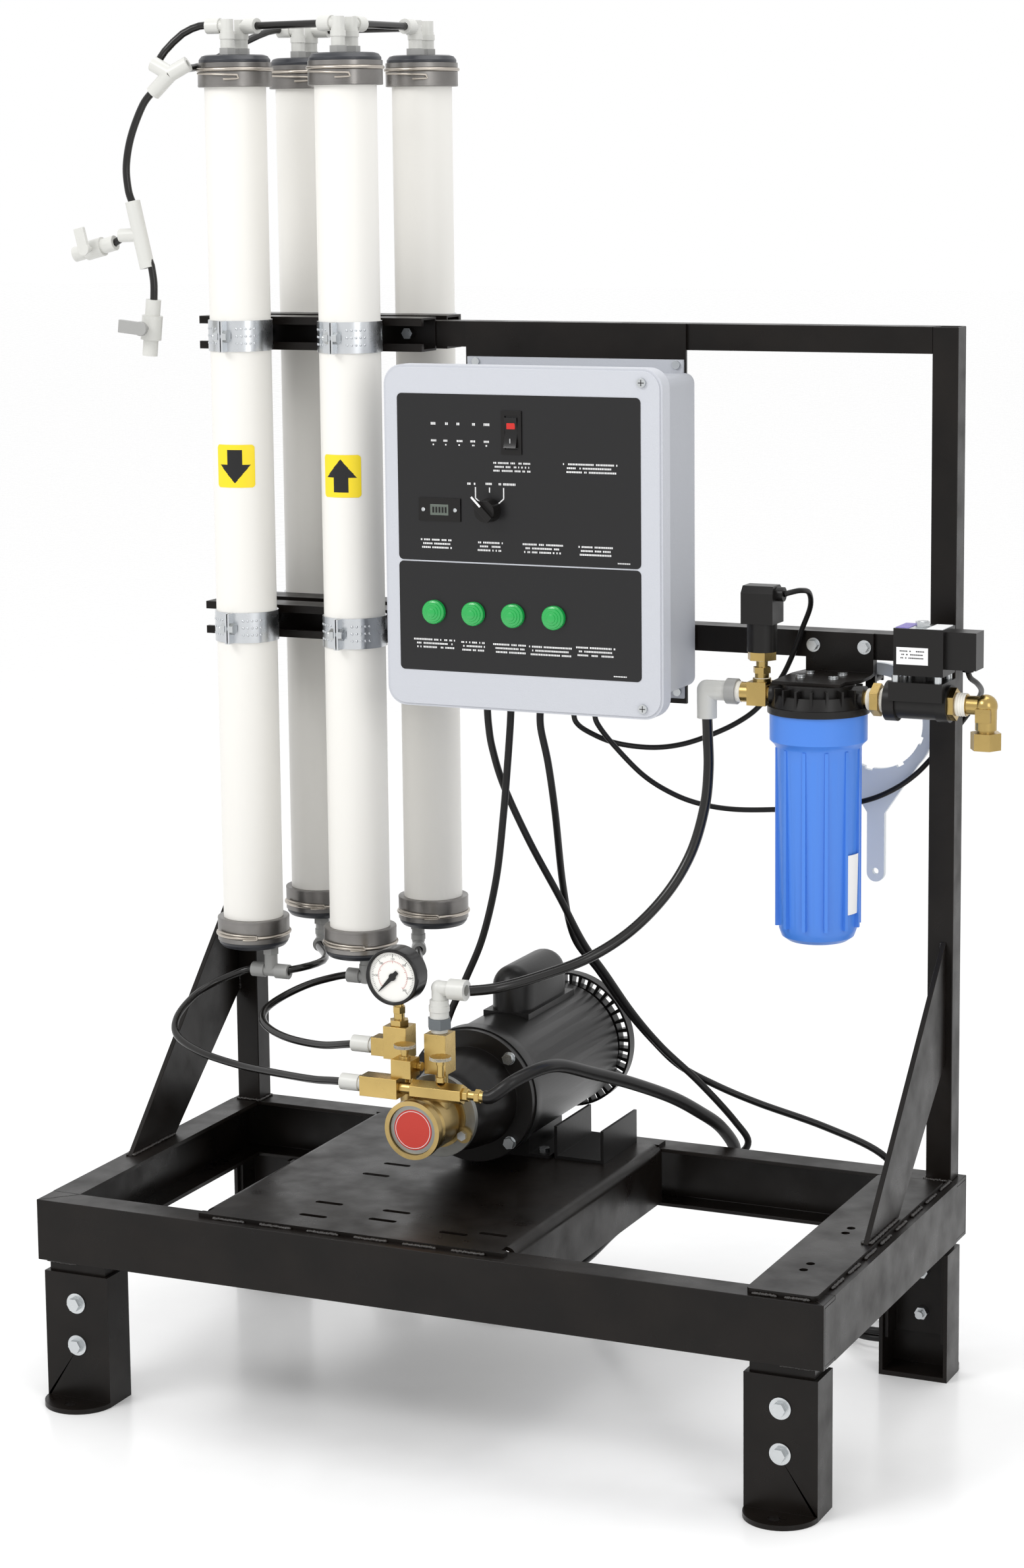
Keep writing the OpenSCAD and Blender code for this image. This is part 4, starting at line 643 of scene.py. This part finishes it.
for k, (cx, cy) in enumerate(((-415, 141), (-262, 141), (-254, 337), (-421, 337))):
    for t, z in (("low", 505), ("top", 1582)):
        a = arc(cx, cy, 48.6, -40, 32, z, z - 2.5)
        b = arc(cx, cy, 48.6, 32, 34, z - 2.5, z - 6.5, 4)
        c = arc(cx, cy, 48.6, 34, 12, z - 7.0, z - 7.5, 8)
        curve(f"ring_wire_{t}_{k}", a + b[1:] + c[1:], 2.6, WIRE)
        # the moulding line and lip between band and tube
        lathe(f"band_lip_{t}_{k}", [(38.2, 0), (44.6, 0), (45.9, 1.2), (45.9, 3.0), (44.6, 4.2), (38.2, 4.2)],
              (cx, cy, 516.4 if t == "low" else 1565.4), "z", BAND, 96)

BALL = []
for i in range(1, 5):
    for k in range(8):
        th, ph = math.pi * i / 5, 2 * math.pi * k / 8
        BALL.append(Vector((math.sin(th) * math.cos(ph), math.sin(th) * math.sin(ph), math.cos(th))))


def blob(verts, faces, centre, scale, rot=None):
    """A small eight-sided ball added to plain lists of corners and faces."""
    b = len(verts)
    for v in [Vector((0, 0, 1))] + BALL + [Vector((0, 0, -1))]:
        w = Vector((v.x * scale[0], v.y * scale[1], v.z * scale[2]))
        verts.append(centre + (rot @ w if rot else w))
    for k in range(8):
        j = (k + 1) % 8
        faces.append((b, b + 1 + k, b + 1 + j))
        for i in range(3):
            faces.append((b + 1 + 8 * i + k, b + 9 + 8 * i + k, b + 9 + 8 * i + j, b + 1 + 8 * i + j))
        faces.append((b + 33, b + 25 + j, b + 25 + k))


def blobs(name, verts, faces, m, body="frame"):
    me = bpy.data.meshes.new(name)
    me.from_pydata(verts, [], faces)
    me.materials.append(m)
    me.polygons.foreach_set("use_smooth", [True] * len(me.polygons))
    o = bpy.data.objects.new(name, me)
    bpy.context.scene.collection.objects.link(o)
    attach(o, body)
    return o


# ------------------------------------------------------------ clamps: worked dots beside the ears
dv, df = [], []
for (cx, cy) in ((-415, 141), (-262, 141)):
    for z in (1261, 896.5):
        for side in (-1, 1):
            for i in range(5):
                for j in (-1, 0, 1):
                    a = side * math.radians(22 + 8 * i)
                    blob(dv, df, M((cx + 40.3 * math.sin(a), cy - 40.3 * math.cos(a), z + j * 9)), (0.0016, 0.0006, 0.0016), Matrix.Rotation(a, 3, "Z"))
blobs("clamp_dots", dv, df, ZINC)

# ------------------------------------------------------------ weld beads
def bead(bm, a, b, r=2.6, flat=0.75):
    A, B = M(a), M(b)
    n = max(3, int((B - A).length / 0.0021))
    for k in range(n + 1):
        q = r / 1000 * random.uniform(0.85, 1.15)
        blob(bm[0], bm[1], A.lerp(B, k / n) + Vector([random.uniform(-0.35, 0.35) / 1000 for _ in range(3)]), (q, q, q * flat))


bm = ([], [])
for x in range(-262, 95, 62):
    bead(bm, (x, -246.4, 249.6), (x + 38, -246.4, 249.6))
for y in range(-205, 190, 56):
    bead(bm, (488.2, y, 249.8), (488.2, y + 34, 249.8))
for x in (414, 452):
    bead(bm, (x, -253.2, 249.8), (x + 26, -253.2, 249.8))
for s in (-1, 1):
    bead(bm, (s * 458, 222.4, 250), (s * 489.5, 222.4, 250), 2.4)
    bead(bm, (s * 456.8, 224, 250), (s * 456.8, 254, 250), 2.4)
    bead(bm, (s * 458, 222.6, 881.5), (s * 458, 222.6, 911), 1.5)
    bead(bm, (s * 448, -257, 173.4), (s * 486, -257, 173.4), 1.8)
bead(bm, (-491, -60, 250), (-491, -20, 250))
bead(bm, (-491, 5, 250), (-491, 40, 250))
bead(bm, (-482.4, -58, 250), (-482.4, 40, 250))
bead(bm, (474, -58, 256), (474, -25, 256))
bead(bm, (482.6, -58, 256), (482.6, 40, 256))
for s, x in ((-1, -483), (1, 474.5)):
    bead(bm, (x, 222.8, 400), (x, 222.8, 420), 1.8)
    bead(bm, (x, 222.8, 515), (x, 222.8, 543), 1.8)
for x in range(-280, 110, 84):
    bead(bm, (x, 243.6, 249.6), (x + 30, 243.6, 249.6))
blobs("weld_beads", bm[0], bm[1], WELD)

# mitre seams at the base's corners and bars
for s in (-1, 1):
    pts = [(s * 497.6, -260.1), (s * 496.4, -260.1), (s * 459.4, -222.9), (s * 460.6, -222.9)]
    plate(f"mitre_{'l' if s < 0 else 'r'}", pts, "z", 248.62, 0.35, WELD)

# ------------------------------------------------------------ filter details
def label_arc(name, cx, cy, R, a0, a1, z0, z1, m, n=24, body="frame"):
    bm = bmesh.new()
    rows = []
    for k in range(n + 1):
        a = math.radians(a0 + (a1 - a0) * k / n)
        rows.append([bm.verts.new(M((cx + (R(z) if callable(R) else R) * math.sin(a), cy - (R(z) if callable(R) else R) * math.cos(a), z))) for z in (z0, z1)])
    for k in range(n):
        bm.faces.new((rows[k][0], rows[k + 1][0], rows[k + 1][1], rows[k][1]))
    return finish_mesh(name, bm, m, body=body)


label_arc("sump_label", 346, 148, lambda z: 47.2 + (z - 568) * 0.0195 + 1.9, 63, 87, 590, 662, LABW, body="sump")
for k, (x, y) in enumerate(((320, 157), (320, 190), (361, 157), (361, 190))):
    lathe(f"bracket_screw_{k}", [(0, 3.4), (3.2, 3.2), (5.2, 2.2), (6.1, 0.6), (6.1, 0)], (x, y, 866.1), "z", BOLT, 32)
    # the black crosses on the zinc screw heads are painted shade standing in for the recessed cross slots
    bmx = bmesh.new()
    for q0 in ((6.4, 1.3), (1.3, 6.4)):
        bmesh.ops.create_cube(bmx, size=1, matrix=Matrix.Translation(M((x, y, 869.45))) @ Matrix.Diagonal((q0[0] / 1000, q0[1] / 1000, 0.0004, 1)))
    finish_mesh(f"bracket_cross_painted_shade_{k}", bmx, BLKP)
# thread tape at the joints
for k, (x0, x1, r) in enumerate(((407.4, 413.4, 12.6), (424.2, 431.2, 14.3), (499.5, 508, 14.4), (515.4, 527.4, 13.5), (243.2, 250, 12.3), (286.6, 292, 10.6))):
    n = 4
    prof = [(r - 1.5, 0)]
    for i in range(n * 2 + 1):
        prof.append((r + (0.35 if i % 2 else -0.25), (x1 - x0) * (i / (n * 2))))
    prof.append((r - 1.5, x1 - x0))
    lathe(f"tape_{k}", prof, (x0, 148, 846), "x", PTFE, 40)
for k, (x, y, z, h, r) in enumerate(((275, 148, 861, 3.6, 9.6), (275, 148, 884.2, 2.0, 8.0))):
    lathe(f"tape_v_{k}", [(r - 1.5, 0), (r, 0.3), (r + 0.3, h / 2), (r, h - 0.3), (r - 1.5, h)], (x, y, z), "z", PTFE, 40)
# solenoid: label, marks, top plates and nut
box("coil_label", (449, 124.4, 893), (487, 125.1, 913), LABW, 0)
many("coil_marks", words(468, 908, 30, 3, 1.4, 4.0, 124.2), OVER)
box("coil_top", (446.5, 128, 934.6), (462.5, 168, 935.6), PURP, 0.2)
box("coil_top2", (484, 128, 934.6), (503.5, 168, 935.6), LABW, 0.2)
lathe("coil_nut", [(0, 7), (5.5, 6.6), (6.6, 5.4), (6.6, 0)], (473, 148, 935.1), "z", BOLT, 32)

# ------------------------------------------------------------ gauge
g = (-101, -93, 520)
lathe("gauge_dial", [(0, 0), (30.4, 0)], (g[0], -90.6, g[2]), "-y", DIAL, 96)
lathe("gauge_bezel", [(30.2, -2.4), (30.2, 0.8), (31.2, 1.6), (33.2, 1.6), (34.1, 0.6), (34.3, -1.0), (34.3, -6), (33.4, -7)], (g[0], -93, g[2]), "-y", BLKG, 96)
ticks = bmesh.new()


def tick(bm, r0, r1, a, w, y):
    ca, sa = math.cos(math.radians(a)), math.sin(math.radians(a))
    A = []
    for r, s in ((r0, -1), (r1, -1), (r1, 1), (r0, 1)):
        A.append(bm.verts.new(M((g[0] + r * ca - s * w / 2 * sa, y, g[2] + r * sa + s * w / 2 * ca))))
    bm.faces.new(A)


for k in range(61):
    a = 225 - 270 * k / 60
    tick(ticks, 23.6 if k % 10 == 0 else (24.6 if k % 5 == 0 else 25.6), 27.6, a, 0.7 if k % 10 == 0 else 0.35, -90.75)
finish_mesh("gauge_ticks", ticks, OVER)
ticks = bmesh.new()
for k in range(41):
    a = 225 - 270 * k / 40
    tick(ticks, 16.6 if k % 10 == 0 else 17.6, 19.2, a, 0.5 if k % 10 == 0 else 0.3, -90.75)
for k in range(90):
    tick(ticks, 19.0, 19.3, 225 - 270 * (k + 0.5) / 90, 1.0, -90.74)
finish_mesh("gauge_ticks_red", ticks, RED)
for k in range(7):
    a = math.radians(225 - 270 * k / 6)
    cu = bpy.data.curves.new(f"gauge_num_{k}", "FONT")
    cu.body = str(k * 50)
    cu.size = 0.0036
    cu.align_x = "CENTER"
    cu.align_y = "CENTER"
    o = bpy.data.objects.new(f"gauge_num_tmp_{k}", cu)
    bpy.context.scene.collection.objects.link(o)
    o.location = M((g[0] + 21.4 * math.cos(a), -90.78, g[2] + 21.4 * math.sin(a)))
    o.rotation_euler = (math.radians(90), 0, 0)
    bpy.context.view_layer.update()
    me = bpy.data.meshes.new_from_object(o)
    me.transform(o.matrix_world)
    bpy.data.objects.remove(o)
    me.materials.append(OVER)
    o = bpy.data.objects.new(f"gauge_num_{k}", me)
    bpy.context.scene.collection.objects.link(o)
    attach(o, "frame")

# ------------------------------------------------------------ pump nose
lathe("pump_grey_ring", [(24.6, 0.2), (24.6, 1.4), (29.4, 1.4), (29.8, 0.2)], (-65, -114.1, 343.6), "-y", GREY, 72)
lathe("pump_disc_red", [(0, 1.9), (24.0, 1.9), (24.5, 1.5), (24.5, 0)], (-65, -114.1, 343.6), "-y", DISC, 72)
lathe("pump_disc_line", [(22.1, 0), (22.1, 0.12), (22.7, 0.12), (22.7, 0)], (-65, -116.0, 343.6), "-y", LABW, 72)

# ------------------------------------------------------------ floor, light and camera
def stage_plane(name, size, z, m):
    me = bpy.data.meshes.new(name)
    s = size
    me.from_pydata([(-s, -s, z), (s, -s, z), (s, s, z), (-s, s, z)], [], [(0, 1, 2, 3)])
    me.materials.append(m)
    o = bpy.data.objects.new(name, me)
    bpy.context.scene.collection.objects.link(o)
    return o


FLOOR = mat("floor", (0.97, 0.97, 0.97), 0.22, spec=0.35, rvar=0.05)
stage_plane("floor", 30, 0, FLOOR)
w = bpy.data.worlds.new("world")
bpy.context.scene.world = w
w.use_nodes = True
w.node_tree.nodes["Background"].inputs[0].default_value = (1, 1, 1, 1)
w.node_tree.nodes["Background"].inputs[1].default_value = 1.0


def area(name, loc, target, size, power, col=(1, 1, 1)):
    l = bpy.data.lights.new(name, "AREA")
    l.energy = power
    l.size = size[0]
    l.shape = "RECTANGLE"
    l.size_y = size[1]
    l.color = col
    o = bpy.data.objects.new(name, l)
    bpy.context.scene.collection.objects.link(o)
    o.location = loc
    o.rotation_euler = (Vector(target) - Vector(loc)).to_track_quat("-Z", "Y").to_euler()
    return o


area("key", (-1.6, -2.6, 3.2), (0, 0, 0.8), (1.6, 1.2), 46)
area("fill", (2.8, -2.2, 1.8), (0, 0, 0.8), (1.0, 1.8), 16)
area("top", (0.2, 0.4, 3.6), (0, 0, 0.6), (1.8, 1.8), 24)

cam = bpy.data.cameras.new("cam")
co = bpy.data.objects.new("cam", cam)
bpy.context.scene.collection.objects.link(co)
yaw, pitch, roll = math.radians(24.59), math.radians(8.80), math.radians(-0.61)
F = Vector((-math.sin(yaw) * math.cos(pitch), math.cos(yaw) * math.cos(pitch), -math.sin(pitch)))
r = F.cross(Vector((0, 0, 1))).normalized()
u = r.cross(F)
R = math.cos(roll) * r + math.sin(roll) * u
U = -math.sin(roll) * r + math.cos(roll) * u
co.matrix_world = Matrix(((R.x, U.x, -F.x, 0), (R.y, U.y, -F.y, 0), (R.z, U.z, -F.z, 0), (0, 0, 0, 1)))
co.location = M((1688.31, -3655.71, 1489.54))
cam.sensor_width = 36
cam.sensor_fit = "AUTO"
cam.lens = 79.31
cam.shift_x = 0.0007
cam.shift_y = -0.0655
cam.clip_start, cam.clip_end = 0.1, 100
bpy.context.scene.camera = co
bpy.context.scene.view_settings.view_transform = "Standard"
